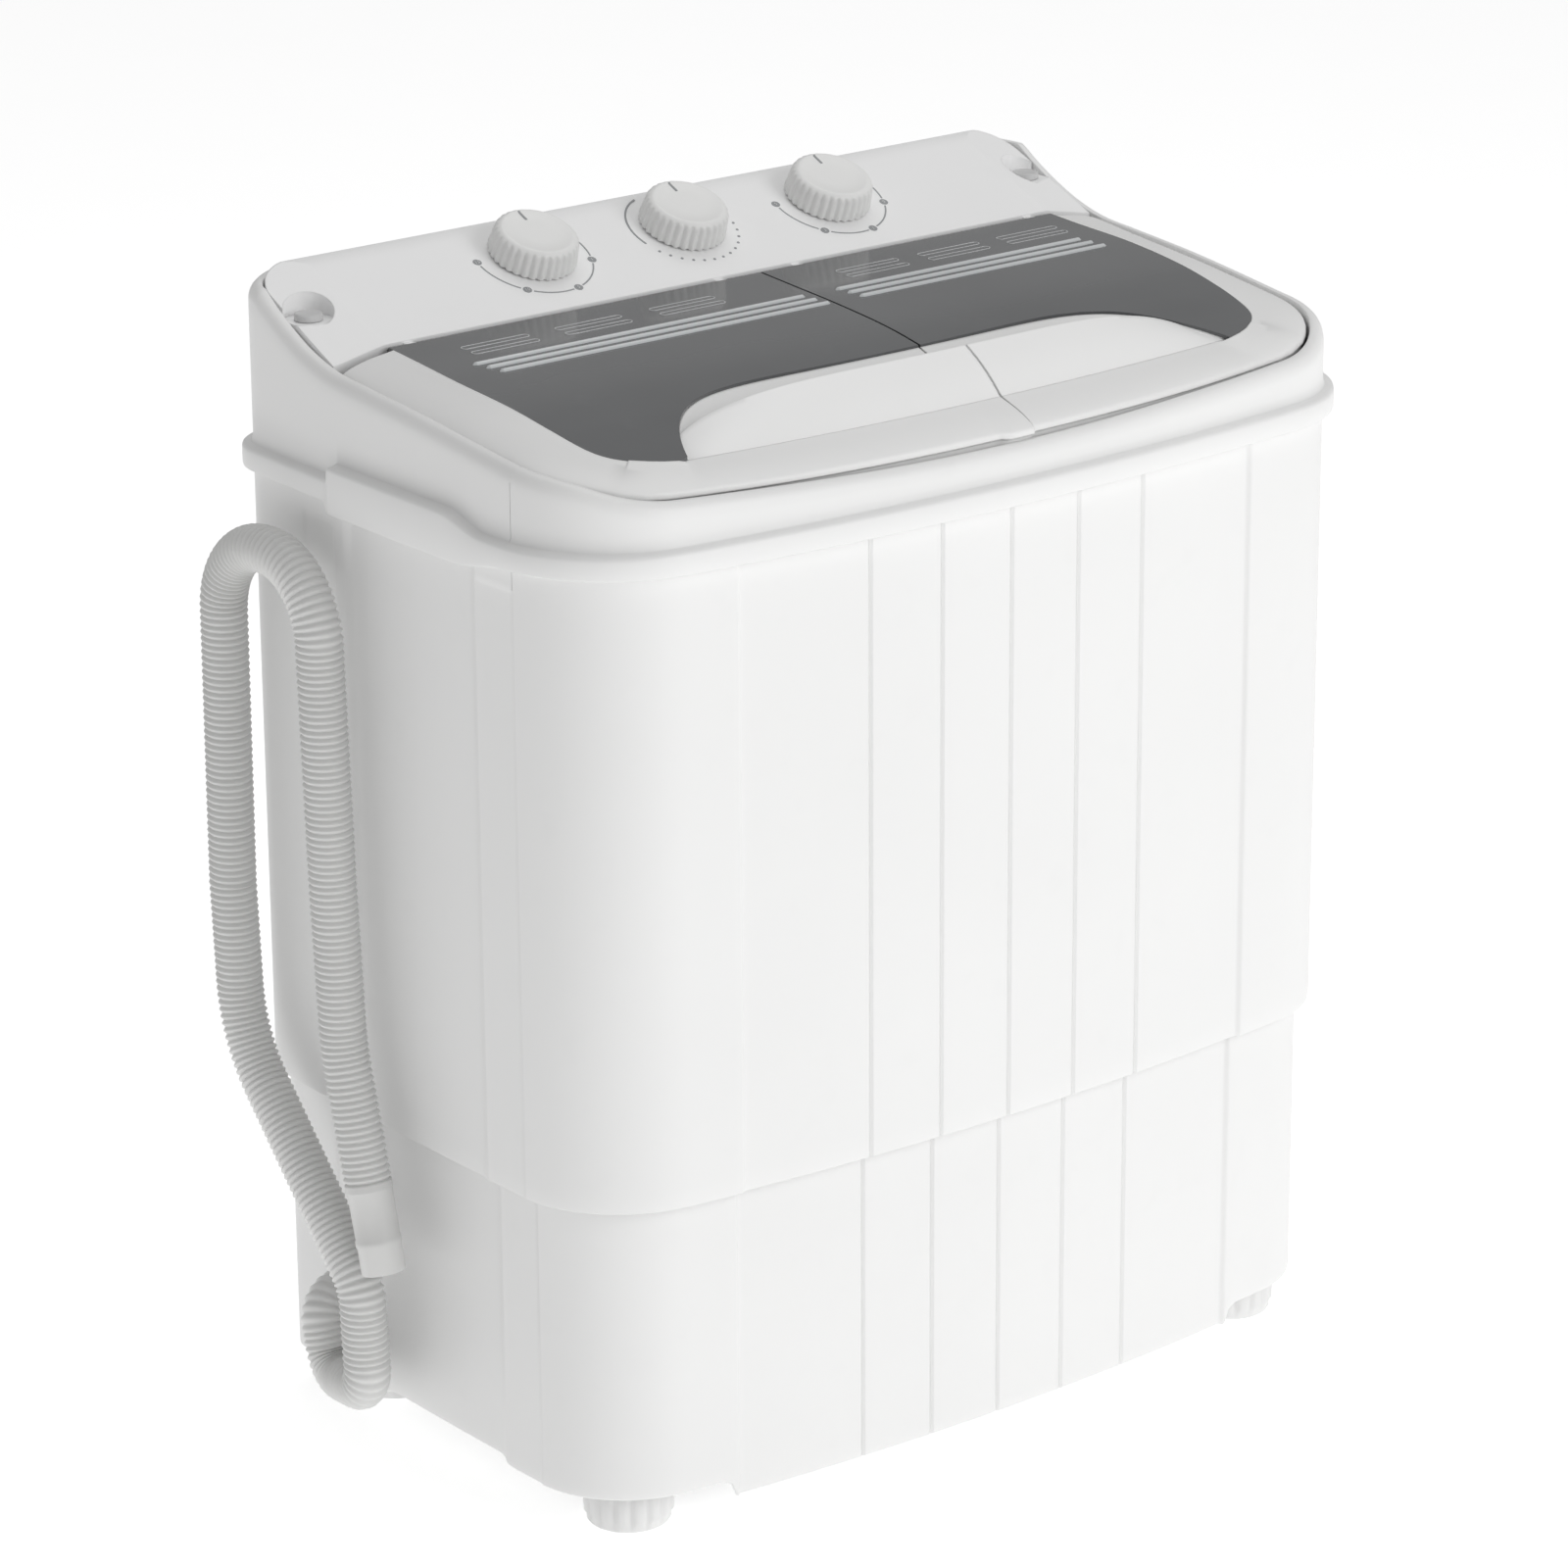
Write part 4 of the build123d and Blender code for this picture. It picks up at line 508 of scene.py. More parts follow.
def cover_profile(x, y):
    """Top cover: collar with its side grips, wall, rounded rim and inner wall."""
    top = min(COVER_TOP(y), RIDGE_Z - RIDGE_FALL * (abs(x) - RIDGE_HALF))
    side = ramp(abs(x), 255.0, 262.0)
    raised = side * ramp(y, -76.0, -40.0) * (1 - ramp(y, 66.0, 70.0))
    lowered = side * ramp(y, -96.0, -55.0) * (1 - ramp(y, 70.0, 74.0))
    proud = GRIP_PROUD * min(raised, lowered)
    low, high = COLLAR_BOTTOM - GRIP_DROP * lowered, COLLAR_TOP + GRIP_RISE * raised
    wall, foot = SHELL_INSET, high + 2.8
    collar = [(1.5, low), (0.4, low + 0.5), (0.0, low + 1.8)]
    collar += [(0.0, high - 3.0), (0.5, high - 1.3), (1.7, high - 0.4)]
    rows = [(12.0, COLLAR_BOTTOM + 1.0)] + [(inset - proud, z) for inset, z in collar]
    rows += [(3.8 - proud * 0.5, high), (5.5, high + 0.8), (wall, foot)]
    for t in (0.3, 0.65, 0.9):
        rows.append((wall, foot + (top - 9.0 - foot) * t))
    for step, drop in ((0.1, 8.0), (0.7, 5.2), (1.9, 2.9), (3.5, 1.3), (5.4, 0.5)):
        rows.append((wall + step, top - drop))
    rows += [(14.0, top - 0.35), (14.8, top - 0.65), (15.0, top - 1.4), (15.0, top - 16.0), (12.0, 588.0)]
    return rows


ring_shell("body_shell_skin", body_profile, "white_shell", ("body_shell",))
ring_shell("base_housing_skin", base_profile, "white_shell", ("base_housing",))
ring_shell("top_cover_skin", cover_profile, "white_shell", ("top_cover",))

# ---------------------------------------------------------------- lids
SPLIT_X, HINGE_Y, HINGE_Z = 20.6, 78.0, 648.0
# Height of the lids along their depth (y, z).
LID_Z = smooth_curve((
    (-170.0, 609.4), (-137.0, 622.5), (-120.0, 626.4), (-99.0, 630.7), (-75.0, 635.8), (-39.0, 642.0),
    (8.4, 646.6), (51.5, 649.4), (78.0, 651.2),
))
# Outer edge of a window (y, x).
WINDOW_SIDE = smooth_curve((
    (-127.5, 214.0), (-126.2, 217.1), (-119.8, 226.6), (-111.5, 234.6), (-99.1, 239.5),
    (-74.9, 242.8), (-39.1, 245.0), (8.4, 246.4), (51.5, 244.4), (78.2, 243.6),
))
# Height of the lid's outer edge, along its side and round its front (y, z).
SEAM_SIDE_Z = smooth_curve((
    (-140.0, 620.0), (-96.0, 626.0), (-68.0, 629.0), (-32.0, 633.0), (23.0, 638.0), (79.0, 643.8),
))
SEAM_FRONT_Z = smooth_curve((
    (-170.0, 611.0), (-159.0, 612.5), (-140.0, 618.0), (-120.0, 622.5), (-96.0, 626.0), (-60.0, 630.0),
))
# Inner edge of the frame where the window meets the front lip (x, y, z).
FRAME_CORNER = (
    (226.0, -120.4, 627.0), (217.1, -126.2, 626.1), (209.0, -129.6, 625.3), (200.8, -131.6, 624.6),
    (196.0, -130.6, 623.2),
)
# Outer edge of the frame, as steps inwards and up from the seam.
FRAME_SKIRT = ((1.2, 0.35), (0.35, -0.5), (0.0, -1.6), (0.0, -3.6), (2.6, -5.0), (2.6, -11.0), (5.0, -11.0),
               (6.0, -7.5))
CREASE_Z, FRAME_REACH = 622.5, 30.0
SCOOP_HALF, SCOOP_X, SCOOP_DEPTH, SCOOP_RISE = 196.0, 3.6, 71.3, 13.2
HANDLE_HALF, HANDLE_X, HANDLE_DEPTH, HANDLE_RISE, HANDLE_END = 195.2, 3.0, 30.5, 23.4, 0.9975
PANE_THICK = 3.6
RIDGE_YS, RIDGE_WIDTH, RIDGE_RISE = (27.5, 19.0, 10.5), 3.6, 1.5
VENT_YS, VENT_SIZE, VENT_LINE = (45.0, 55.0), (46.0, 4.6), 0.5


def crease_y(x):
    """The crease between the lids' top and their sloping front lip."""
    return -138.3 + 10.4 * (x / 195.0) ** 2


def scoop_point(t):
    """Edge of the finger scoop, t from -1 to 1."""
    x = SCOOP_X + SCOOP_HALF * t
    y = crease_y(x) + SCOOP_DEPTH * (1 - abs(t) ** 6.3)
    return x, y, min(LID_Z(y) + 0.1, CREASE_Z + SCOOP_RISE * (1 - abs(t) ** 7.9) + 0.3)


def scoop_steps(lo, hi):
    """Values of t, closer together near the ends of the scoop."""
    angles = linspace(-math.pi / 2, math.pi / 2, 81)
    inner = [math.sin(a) for a in angles if lo < math.sin(a) < hi]
    return [lo] + inner + [hi]


def window_front_curve(sign):
    """Front and side edge of one window from the scoop's corner to the hinge line."""
    points = [(sign * x, y) for x, y, _ in (FRAME_CORNER[3], FRAME_CORNER[2])]
    for y in linspace(-127.4, HINGE_Y, 60):
        points.append((sign * WINDOW_SIDE(y), y))
    return points


def window_pane(name, polygon, body, stands_for):
    """Flat plan polygon lifted onto the lid's surface and given thickness."""
    work = bmesh.new()
    work.faces.new([work.verts.new((x, y, 0)) for x, y in polygon])
    bmesh.ops.triangulate(work, faces=work.faces[:])
    for y in linspace(-131, 74, 42):
        bmesh.ops.bisect_plane(work, geom=work.verts[:] + work.edges[:] + work.faces[:], plane_co=(0, y, 0),
                               plane_no=(0, 1, 0))
    made = bmesh.ops.extrude_face_region(work, geom=work.faces[:])
    lower = {g for g in made["geom"] if isinstance(g, bmesh.types.BMVert)}
    for v in work.verts:
        v.co.z = LID_Z(v.co.y) - (PANE_THICK if v in lower else 0.0)
    bmesh.ops.recalc_face_normals(work, faces=work.faces)
    work.verts.index_update()
    verts = [tuple(v.co) for v in work.verts]
    faces = [tuple(v.index for v in f.verts) for f in work.faces]
    work.free()
    return piece(name, verts, faces, body, FINISHES["smoked_window"], "smoked_window", stands_for, sharp=30.0)


def window_polygon(sign):
    """Plan of one window, anticlockwise."""
    near = SPLIT_X + sign * 0.8
    edge = window_front_curve(sign)
    t_near = (near - SCOOP_X) / SCOOP_HALF
    ts = scoop_steps(t_near, 0.9999) if sign > 0 else scoop_steps(-0.9999, t_near)
    if sign < 0:
        ts = list(reversed(ts))
    scoop = [scoop_point(t)[:2] for t in ts]
    # from the hinge line at the split, down to the scoop, along it, then round the outer edge
    return [(near, HINGE_Y)] + scoop + edge


def bar(x0, x1, y, width, rise, sink):
    """Rounded raised bar along X on the lid."""
    base = LID_Z(y)
    rows = []
    for x in [x0] + linspace(x0 + width / 2, x1 - width / 2, 12) + [x1]:
        end = min(1.0, max(0.05, min(x - x0, x1 - x) / (width / 2)))
        half = width / 2 * math.sqrt(1 - (1 - end) ** 2)
        row = []
        for a in linspace(0, math.pi, 9):
            row.append((x, y - half * math.cos(a), base + rise * end * math.sin(a)))
        row.append((x, y + half, base - sink))
        row.append((x, y - half, base - sink))
        rows.append(row)
    return loft(rows)


def oval_ring(x, y, length, width, line, rise):
    """Thin raised line around an elongated oval on the lid."""
    r = width / 2
    centre_line = []
    for side, start in ((1, -math.pi / 2), (-1, math.pi / 2)):
        for a in linspace(start, start + math.pi, 9):
            centre_line.append((x + side * (length / 2 - r) + r * math.cos(a), y + r * math.sin(a)))
    rows = []
    n = len(centre_line)
    for i, (px, py) in enumerate(centre_line):
        qx, qy = centre_line[(i + 1) % n]
        ox, oy = centre_line[i - 1]
        size = math.hypot(qx - ox, qy - oy)
        dx, dy = (qy - oy) / size * line / 2, (ox - qx) / size * line / 2
        low, high = LID_Z(py) - 0.4, LID_Z(py) + rise
        rows.append([(px - dx, py - dy, low), (px - dx, py - dy, high), (px + dx, py + dy, high),
                     (px + dx, py + dy, low)])
    return loft(rows, closed_path=True)


def crossing(start, direction, line, reach):
    """Nearest point where a ray from start meets a plan line, or the point at reach if it misses."""
    ix, iy = start
    dx, dy = direction
    best = None
    for (x1, y1), (x2, y2) in zip(line, line[1:]):
        ex, ey = x2 - x1, y2 - y1
        det = -dx * ey + dy * ex
        if abs(det) < 1e-9:
            continue
        s = ((x1 - ix) * -ey + (y1 - iy) * ex) / det
        u = (dx * (y1 - iy) - dy * (x1 - ix)) / det
        if s > 0 and -0.001 <= u <= 1.001 and (best is None or s < best):
            best = s
    run = reach if best is None else best
    return ix + dx * run, iy + dy * run


def frame_rows(sign):
    """Inner and outer points of the white lid frame, from the hinge end to the split."""
    near = SPLIT_X + sign * 0.6
    inner = [(sign * WINDOW_SIDE(y), y, LID_Z(y)) for y in linspace(73.0, -120.0, 40)]
    inner += [(sign * x, y, z) for x, y, z in FRAME_CORNER]
    inner += [(x, crease_y(x), CREASE_Z) for x in linspace(193.0 * sign, near, 50)]
    seam = [p for p in outline(SEAM, front_step=5.0) if p[0] * sign >= 0 and p[1] < -45]
    seam = sorted(seam, key=lambda p: math.atan2(p[1] + 20, sign * p[0]), reverse=True)
    rows = []
    for ix, iy, iz in inner:
        if iy > -60:
            outer = (sign * side_x(SEAM, iy), iy, SEAM_SIDE_Z(iy))
        else:
            # meet the seam along a direction that turns from outwards to forwards
            down = min(1.0, max(0.0, (-60 - iy) / 71))
            across = min(1.0, max(0.0, (236 - abs(ix)) / 80))
            angle = (down + across) * math.pi / 4
            ox, oy = crossing((ix, iy), (sign * math.cos(angle), -math.sin(angle)), seam, FRAME_REACH)
            outer = (ox, oy, SEAM_FRONT_Z(oy))
        rows.append(((ix, iy, iz), outer))
    return rows


def lid_frame(sign, body, prefix):
    """White frame: from the window edge out to the seam, then down as a skirt."""
    sections = []
    for (ix, iy, iz), (ox, oy, oz) in frame_rows(sign):
        dx, dy = ox - ix, oy - iy
        reach = math.hypot(dx, dy) or 1.0
        ux, uy = dx / reach, dy / reach
        row = [(ix, iy, iz - 6.0), (ix, iy, iz)]
        swell = min(2.2, reach * 0.05)
        for t in linspace(0, 1, 9)[1:-1]:
            crown = swell * math.sin(math.pi * t) * (0.4 + 0.8 * t)
            row.append((ix + dx * t, iy + dy * t, iz + (oz - iz) * t + crown))
        for step, rise in FRAME_SKIRT:
            row.append((ox - ux * step, oy - uy * step, oz + rise))
        sections.append(row)
    verts, faces = loft(sections)
    return piece(prefix + "_lid_frame_shell", verts, faces, body, FINISHES["white_shell"], "white_shell",
                 (prefix + "_lid_frame",), sharp=40.0)


def scoop_floor(sign, body, prefix):
    """White hollow behind the crease, under the handle."""
    near = SPLIT_X + sign * 0.7
    t_near = (near - SCOOP_X) / SCOOP_HALF
    ts = scoop_steps(t_near, 0.9985) if sign > 0 else scoop_steps(-0.9985, t_near)
    sections = []
    for t in ts:
        x, y, z = scoop_point(t)
        front_y = crease_y(x) + 0.4
        row = []
        for s in linspace(0, 1, 12):
            sag = 3.2 * math.sin(math.pi * s) * min(1, (y - front_y) / 40)
            row.append((x, y + (front_y - y) * s, z + (CREASE_Z - 2.0 - z) * s - sag))
        under = [(px, py, pz - 2.0) for px, py, pz in reversed(row)]
        sections.append(row + under)
    verts, faces = loft(sections)
    finish = FINISHES["white_shell"]
    return piece(prefix + "_lid_scoop", verts, faces, body, finish, "white_shell", sharp=40.0)


def handle_shell(sign, body, prefix):
    """Arched handle: a visor that rises backwards over the scoop."""
    near = (SPLIT_X + sign * 0.7 - HANDLE_X) / HANDLE_HALF
    angles = linspace(-math.pi / 2, math.pi / 2, 121)
    values = [math.sin(a) for a in angles]
    if sign > 0:
        ts = [near] + [v for v in values if near + 0.004 < v < HANDLE_END] + [HANDLE_END]
    else:
        ts = [-HANDLE_END] + [v for v in values if -HANDLE_END < v < near - 0.004] + [near]
    sections = []
    for t in ts:
        x = HANDLE_X + HANDLE_HALF * t
        fy = crease_y(x)
        depth = HANDLE_DEPTH * (1 - abs(t) ** 12) ** 0.35
        rise = HANDLE_RISE * (1 - abs(t) ** 4.67)
        thick = min(3.0, 0.6 + rise * 0.4)
        row = [(x, fy + 0.1, CREASE_Z + 0.05)]
        for s in linspace(0, 1, 10)[1:]:
            bulge = 1.6 * math.sin(math.pi * s) * min(1, rise / 12)
            row.append((x, fy + depth * s - bulge * 0.6, CREASE_Z + rise * s + bulge * 0.8))
        back_y, top_z = fy + depth, CREASE_Z + rise
        for a in linspace(0.5, 2.6, 5):
            edge_y = back_y + 0.2 + thick * 0.35 * math.sin(a)
            row.append((x, edge_y, top_z - thick * 0.5 + thick * 0.5 * math.cos(a)))
        for s in linspace(1, 0, 8)[:-1]:
            row.append((x, fy + 2.0 + (depth - 2.0) * s, CREASE_Z - 0.8 + (rise - thick + 0.3) * s))
        row.append((x, fy + 0.8, CREASE_Z - 1.6))
        row.append((x, fy + 0.1, CREASE_Z - 1.6))
        sections.append(row)
    verts, faces = loft(sections)
    return piece(prefix + "_lid_handle_visor", verts, faces, body, FINISHES["handle_white"], "handle_white",
                 (prefix + "_lid_handle",), sharp=38.0)


def hinge_barrel(stops):
    """Round barrel along the hinge line, in lengths between the lugs."""
    barrels = []
    for x0, x1 in zip(stops[::2], stops[1::2]):
        rings = []
        for x, r in ((x0, 2.7), (x0 + 0.5, 3.2), (x1 - 0.5, 3.2), (x1, 2.7)):
            rings.append([(x, HINGE_Y + r * math.cos(a), HINGE_Z + r * math.sin(a)) for a in full_turn(24)])
        barrels.append(loft(rings))
    return merge(barrels)


# Side, name, ends of the ridges, middles of the vents, ends of each length of barrel.
LIDS = (
    (-1, "wash", ((-222.0, 13.0), (-219.0, 15.5), (-216.0, 18.0)), (-187.0, -122.0, -55.0),
     (-243.0, -232.5, -223.5, -12.5, -3.5, 19.5)),
    (1, "spin", ((36.0, 224.0), (38.0, 226.5), (40.0, 229.0)), (82.0, 144.0, 205.0),
     (21.8, 44.5, 53.5, 223.5, 232.5, 243.0)),
)
for sign, prefix, ridge_spans, vents, barrel_stops in LIDS:
    body = prefix + "_lid"
    window_pane(prefix + "_lid_pane", window_polygon(sign), body, (prefix + "_lid_window",))
    lid_frame(sign, body, prefix)
    scoop_floor(sign, body, prefix)
    handle_shell(sign, body, prefix)
    bars = [bar(x0, x1, y, RIDGE_WIDTH, RIDGE_RISE, 0.6) for (x0, x1), y in zip(ridge_spans, RIDGE_YS)]
    # ridges and vent lines carry the light grey painted highlight in place of the smoked window's own colour
    piece(prefix + "_lid_ridges", *merge(bars), body, RIDGE_PAINTED_HIGHLIGHT, "smoked_window")
    ovals = [oval_ring(x, y, *VENT_SIZE, VENT_LINE, 0.25) for x in vents for y in VENT_YS]
    piece(prefix + "_lid_vent_lines", *merge(ovals), body, VENT_PAINTED_HIGHLIGHT, "smoked_window")
    barrel = hinge_barrel(barrel_stops)
    piece(prefix + "_lid_barrel", *barrel, body, FINISHES["smoked_window"], "smoked_window")

# ---------------------------------------------------------------- console dials
SLOPE = math.radians(23.2)
KNOB_Y = 128.5
KNOB_Z = 650.8 + (KNOB_Y - 78.8) * math.tan(SLOPE)
# Middle, piece and body of each knob.
KNOBS = ((-107.5, "wash_timer_knob", "wash_timer_dial"), (1.5, "wash_selector_knob", "selector_dial"),
         (110.5, "spin_timer_knob", "spin_timer_dial"))
KNOB_FLUTES, POINTS_PER_FLUTE, FLUTE_DEPTH = 32, 8, 1.3
# Knob outline: height above the console, radius, share of the flute depth.
KNOB_PROFILE = (
    (0.8, 26.0, 1.0), (1.6, 26.6, 1.0), (13.6, 25.2, 1.0), (15.2, 24.4, 0.7), (15.9, 23.6, 0.2),
    (16.4, 22.8, 0.0), (17.2, 21.6, 0.0), (17.5, 20.4, 0.0), (17.0, 19.4, 0.0), (16.9, 10.0, 0.0),
    (16.9, 1.0, 0.0),
)
MARK_RADIUS, MARK_WIDTH, MARK_GAP, MARK_DISC = 36.5, 0.9, 6, 2.7
MARK_STOPS, LAST_ARC = (175, 232, 285, 338), (344, 372)
WASH_NUMBERS, SPIN_NUMBERS = ("15", "10", "5", "1"), ("5", "3", "1", "0")
NUMBER_SIZE, NUMBER_THICK, NUMBER_LIFT = 3.4, 0.1, 0.26
SELECTOR_RADIUS, SELECTOR_ARC, SELECTOR_WIDTH = 34.0, (112, 196), 1.2
DOT_DISTANCE, DOT_RADIUS, DOT_COUNT, DOT_START, DOT_STEP = 34.5, 0.9, 15, 212, 11.5


def console_point(x, u, v, height):
    """Point near a knob centre: u to the right, v up the slope, height off the face."""
    y = KNOB_Y + v * math.cos(SLOPE) - height * math.sin(SLOPE)
    z = KNOB_Z + v * math.sin(SLOPE) + height * math.cos(SLOPE)
    return x + u, y, z


def ripple(k, per):
    """0 on a crest and 1 in a valley, for point k of a rim with per points in each wave."""
    return 0.5 - 0.5 * math.cos(2 * math.pi * (k % per) / per)


def knob_mesh(x, name, body):
    """Fluted knob: flutes round the skirt, a dished cap and a pointer line."""
    rings = []
    for height, radius, cut in KNOB_PROFILE:
        ring = []
        for k, a in enumerate(full_turn(KNOB_FLUTES * POINTS_PER_FLUTE)):
            r = radius - cut * FLUTE_DEPTH * ripple(k, POINTS_PER_FLUTE) ** 1.6
            ring.append(console_point(x, r * math.cos(a), r * math.sin(a), height))
        rings.append(ring)
    piece(name + "_grip", *loft(rings), body, FINISHES["knob_white"], "knob_white", (name,), sharp=45.0)
    line = []
    for v, top in ((12.0, 17.25), (19.5, 17.25), (20.5, 17.65)):
        corners = ((-0.7, 16.8), (0.7, 16.8), (0.7, top), (-0.7, top))
        line.append([console_point(x, u, v, height) for u, height in corners])
    piece(name + "_pointer", *loft(line), body, MARK_GREY, "knob_white")


def mark_arc(x, radius, start, end, width, rise=0.18):
    """Thin printed arc on the console, angles anticlockwise from the right, in degrees."""
    inner, outer = radius - width / 2, radius + width / 2
    rows = []
    for a in linspace(math.radians(start), math.radians(end), max(4, int(abs(end - start) / 4))):
        corners = ((inner, -0.1), (outer, -0.1), (outer, rise), (inner, rise))
        rows.append([console_point(x, r * math.cos(a), r * math.sin(a), height) for r, height in corners])
    return loft(rows)


def mark_disc(x, angle, distance, radius, rise=0.2):
    """Thin round mark on the console, at an angle in degrees and a distance from the dial's centre."""
    u, v = distance * math.cos(math.radians(angle)), distance * math.sin(math.radians(angle))
    rings = []
    for height in (-0.1, rise):
        rings.append([console_point(x, u + radius * math.cos(a), v + radius * math.sin(a), height)
                      for a in full_turn(20)])
    return loft(rings)


def number_mesh(text, x, angle):
    """Small generic dial number inside a round mark."""
    curve = bpy.data.curves.new("dial_number", "FONT")
    curve.body = text
    curve.size = NUMBER_SIZE
    curve.align_x = "CENTER"
    curve.align_y = "CENTER"
    curve.extrude = NUMBER_THICK
    curve.resolution_u = 3
    temp = bpy.data.objects.new("dial_number", curve)
    bpy.context.scene.collection.objects.link(temp)
    bpy.context.view_layer.update()
    mesh = temp.evaluated_get(bpy.context.evaluated_depsgraph_get()).to_mesh()
    u, v = MARK_RADIUS * math.cos(math.radians(angle)), MARK_RADIUS * math.sin(math.radians(angle))
    verts = [console_point(x, u + p.co.x, v + p.co.y, NUMBER_LIFT + p.co.z) for p in mesh.vertices]
    faces = [tuple(p.vertices) for p in mesh.polygons]
    temp.to_mesh_clear()
    bpy.data.objects.remove(temp)
    return verts, faces


for knob_x, knob_name, knob_body in KNOBS:
    knob_mesh(knob_x, knob_name, knob_body)
wash_x, selector_x, spin_x = (knob[0] for knob in KNOBS)
marks, numbers = [], []
for knob_x, texts in ((wash_x, WASH_NUMBERS), (spin_x, SPIN_NUMBERS)):
    for start, end in zip(MARK_STOPS, MARK_STOPS[1:]):
        marks.append(mark_arc(knob_x, MARK_RADIUS, start + MARK_GAP, end - MARK_GAP, MARK_WIDTH))
    marks.append(mark_arc(knob_x, MARK_RADIUS, *LAST_ARC, MARK_WIDTH))
    for angle, text in zip(MARK_STOPS, texts):
        marks.append(mark_disc(knob_x, angle, MARK_RADIUS, MARK_DISC))
        numbers.append(number_mesh(text, knob_x, angle))
marks.append(mark_arc(selector_x, SELECTOR_RADIUS, *SELECTOR_ARC, SELECTOR_WIDTH))
for k in range(DOT_COUNT):
    marks.append(mark_disc(selector_x, DOT_START + DOT_STEP * k, DOT_DISTANCE, DOT_RADIUS))
piece("console_dial_marks", *merge(marks), "housing", MARK_GREY, "console_white")
piece("console_dial_numbers", *merge(numbers), "housing", FINISHES["console_white"], "console_white")

# ---------------------------------------------------------------- drain hose
HOSE_X = -313.0
LOOP = ((-282, 92, 86), (-304, 88, 84), (-306, 74, 44), (-314, 26, 52), (-314, 30, 116), (HOSE_X, 146, 236),
        (HOSE_X, 151, 330))
LOOP_RADII = (17, 19, 17, 32, 90)
HANGER = ((HOSE_X, 151, 330), (HOSE_X, 149, 541), (HOSE_X, 55, 541), (HOSE_X, 48, 360), (HOSE_X, 42, 262),
          (HOSE_X, 21, 182))
HANGER_RADII = (46, 46, 120, 120)
PITCH, VALLEY_RADIUS, RIB_HEIGHT, POINTS_PER_RIB = 4.0, 12.3, 1.6, 6
# Cuff outline: distance past the hose's end, radius.
CUFF_PROFILE = (
    (-3.0, 12.6), (-2.4, 13.6), (2.0, 13.9), (3.0, 13.1), (30.0, 12.9), (31.0, 13.4), (34.0, 13.4),
    (35.0, 12.8), (50.0, 12.9), (50.8, 12.4), (50.8, 11.2), (49.5, 10.8), (20.0, 10.6),
)


def corrugated_hose(name, path):
    """Ribbed hose along a path; returns the hose's last centre point."""
    samples = resample(path, PITCH / POINTS_PER_RIB)
    centres = [point for point, _ in samples]
    radii = []
    for _, run in samples:
        wave = 0.5 + 0.5 * math.cos(2 * math.pi * run / PITCH)
        radii.append(VALLEY_RADIUS + RIB_HEIGHT * wave**0.7)
    rings = tube(centres, radii, 22)
    piece(name, *loft(rings), "housing", FINISHES["hose_grey"], "hose_grey", ("drain_hose",), sharp=75.0)
    return centres[-1]


def cuff(name, end, ahead):
    """Smooth sleeve on the hose's end."""
    across = ahead.orthogonal().normalized()
    other = ahead.cross(across)
    rings = []
    for distance, radius in CUFF_PROFILE:
        rings.append([end + ahead * distance + (across * math.cos(a) + other * math.sin(a)) * radius
                      for a in full_turn(36)])
    piece(name, *loft(rings), "housing", FINISHES["cuff_grey"], "cuff_grey", ("hose_cuff",), sharp=40.0)


hose_path = rounded_path(LOOP, LOOP_RADII, 1.0) + rounded_path(HANGER, HANGER_RADII, 1.0)[1:]
hose_end = corrugated_hose("drain_hose_corrugated", hose_path)
cuff("hose_end_cuff", hose_end, (Vector(HANGER[-1]) - Vector(HANGER[-2])).normalized())

# ---------------------------------------------------------------- feet
FOOT_LOBES, POINTS_PER_LOBE, LOBE_DEPTH = 16, 8, 2.0
# Foot outline: radius, height, share of the scallop depth. The stem runs up into the base.
FOOT_PROFILE = (
    (20.0, 0.0, 0.0), (23.6, 0.3, 0.0), (24.4, 1.4, 0.2), (24.6, 5.0, 0.5), (26.2, 7.0, 1.0),
    (26.5, 24.0, 1.0), (25.6, 25.6, 0.6), (24.0, 26.0, 0.2), (8.0, 26.0, 0.0), (5.0, 26.2, 0.0),
    (5.0, 64.0, 0.0), (4.0, 66.0, 0.0),
)


def foot_mesh(side):
    """White levelling foot with broad scallops, in the place of the frame's foot."""
    name = "foot_" + side
    low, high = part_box(name)
    centre = (low + high) / 2 / MM
    rings = []
    for radius, z, cut in FOOT_PROFILE:
        ring = []
        for k, a in enumerate(full_turn(FOOT_LOBES * POINTS_PER_LOBE)):
            r = radius - cut * LOBE_DEPTH * ripple(k, POINTS_PER_LOBE) ** 3
            ring.append((centre.x + r * math.cos(a), centre.y + r * math.sin(a), z))
        rings.append(ring)
    finish = FINISHES["foot_white"]
    piece(name + "_cup", *loft(rings), side + "_foot", finish, "foot_white", (name,), sharp=50.0)


for foot_side in ("front_left", "front_right", "back_left", "back_right"):
    foot_mesh(foot_side)

# ---------------------------------------------------------------- floor, light, camera
FLOOR_SIZE, FLOOR_GLOW = 12, 0.55
SKY_LIGHT, SKY_SEEN = 0.40, 1.0
CAMERA_PLACE, CAMERA_TARGET = Vector((-2.0780, -2.5961, 1.5220)), Vector((-0.0157, 0.0134, 0.3604))
CAMERA_ROLL = math.radians(-0.373)
LENS, SENSOR = 137.6, 36
# Name, place, target, size and power of each light, in metres and watts.
LIGHTS = (
    ("key", (1.0, -3.2, 1.9), (0, 0, 0.35), (1.8, 2.2), 42),
    ("top", (0.5, 0.6, 3.2), (0, 0, 0.5), (2.2, 2.0), 16),
)


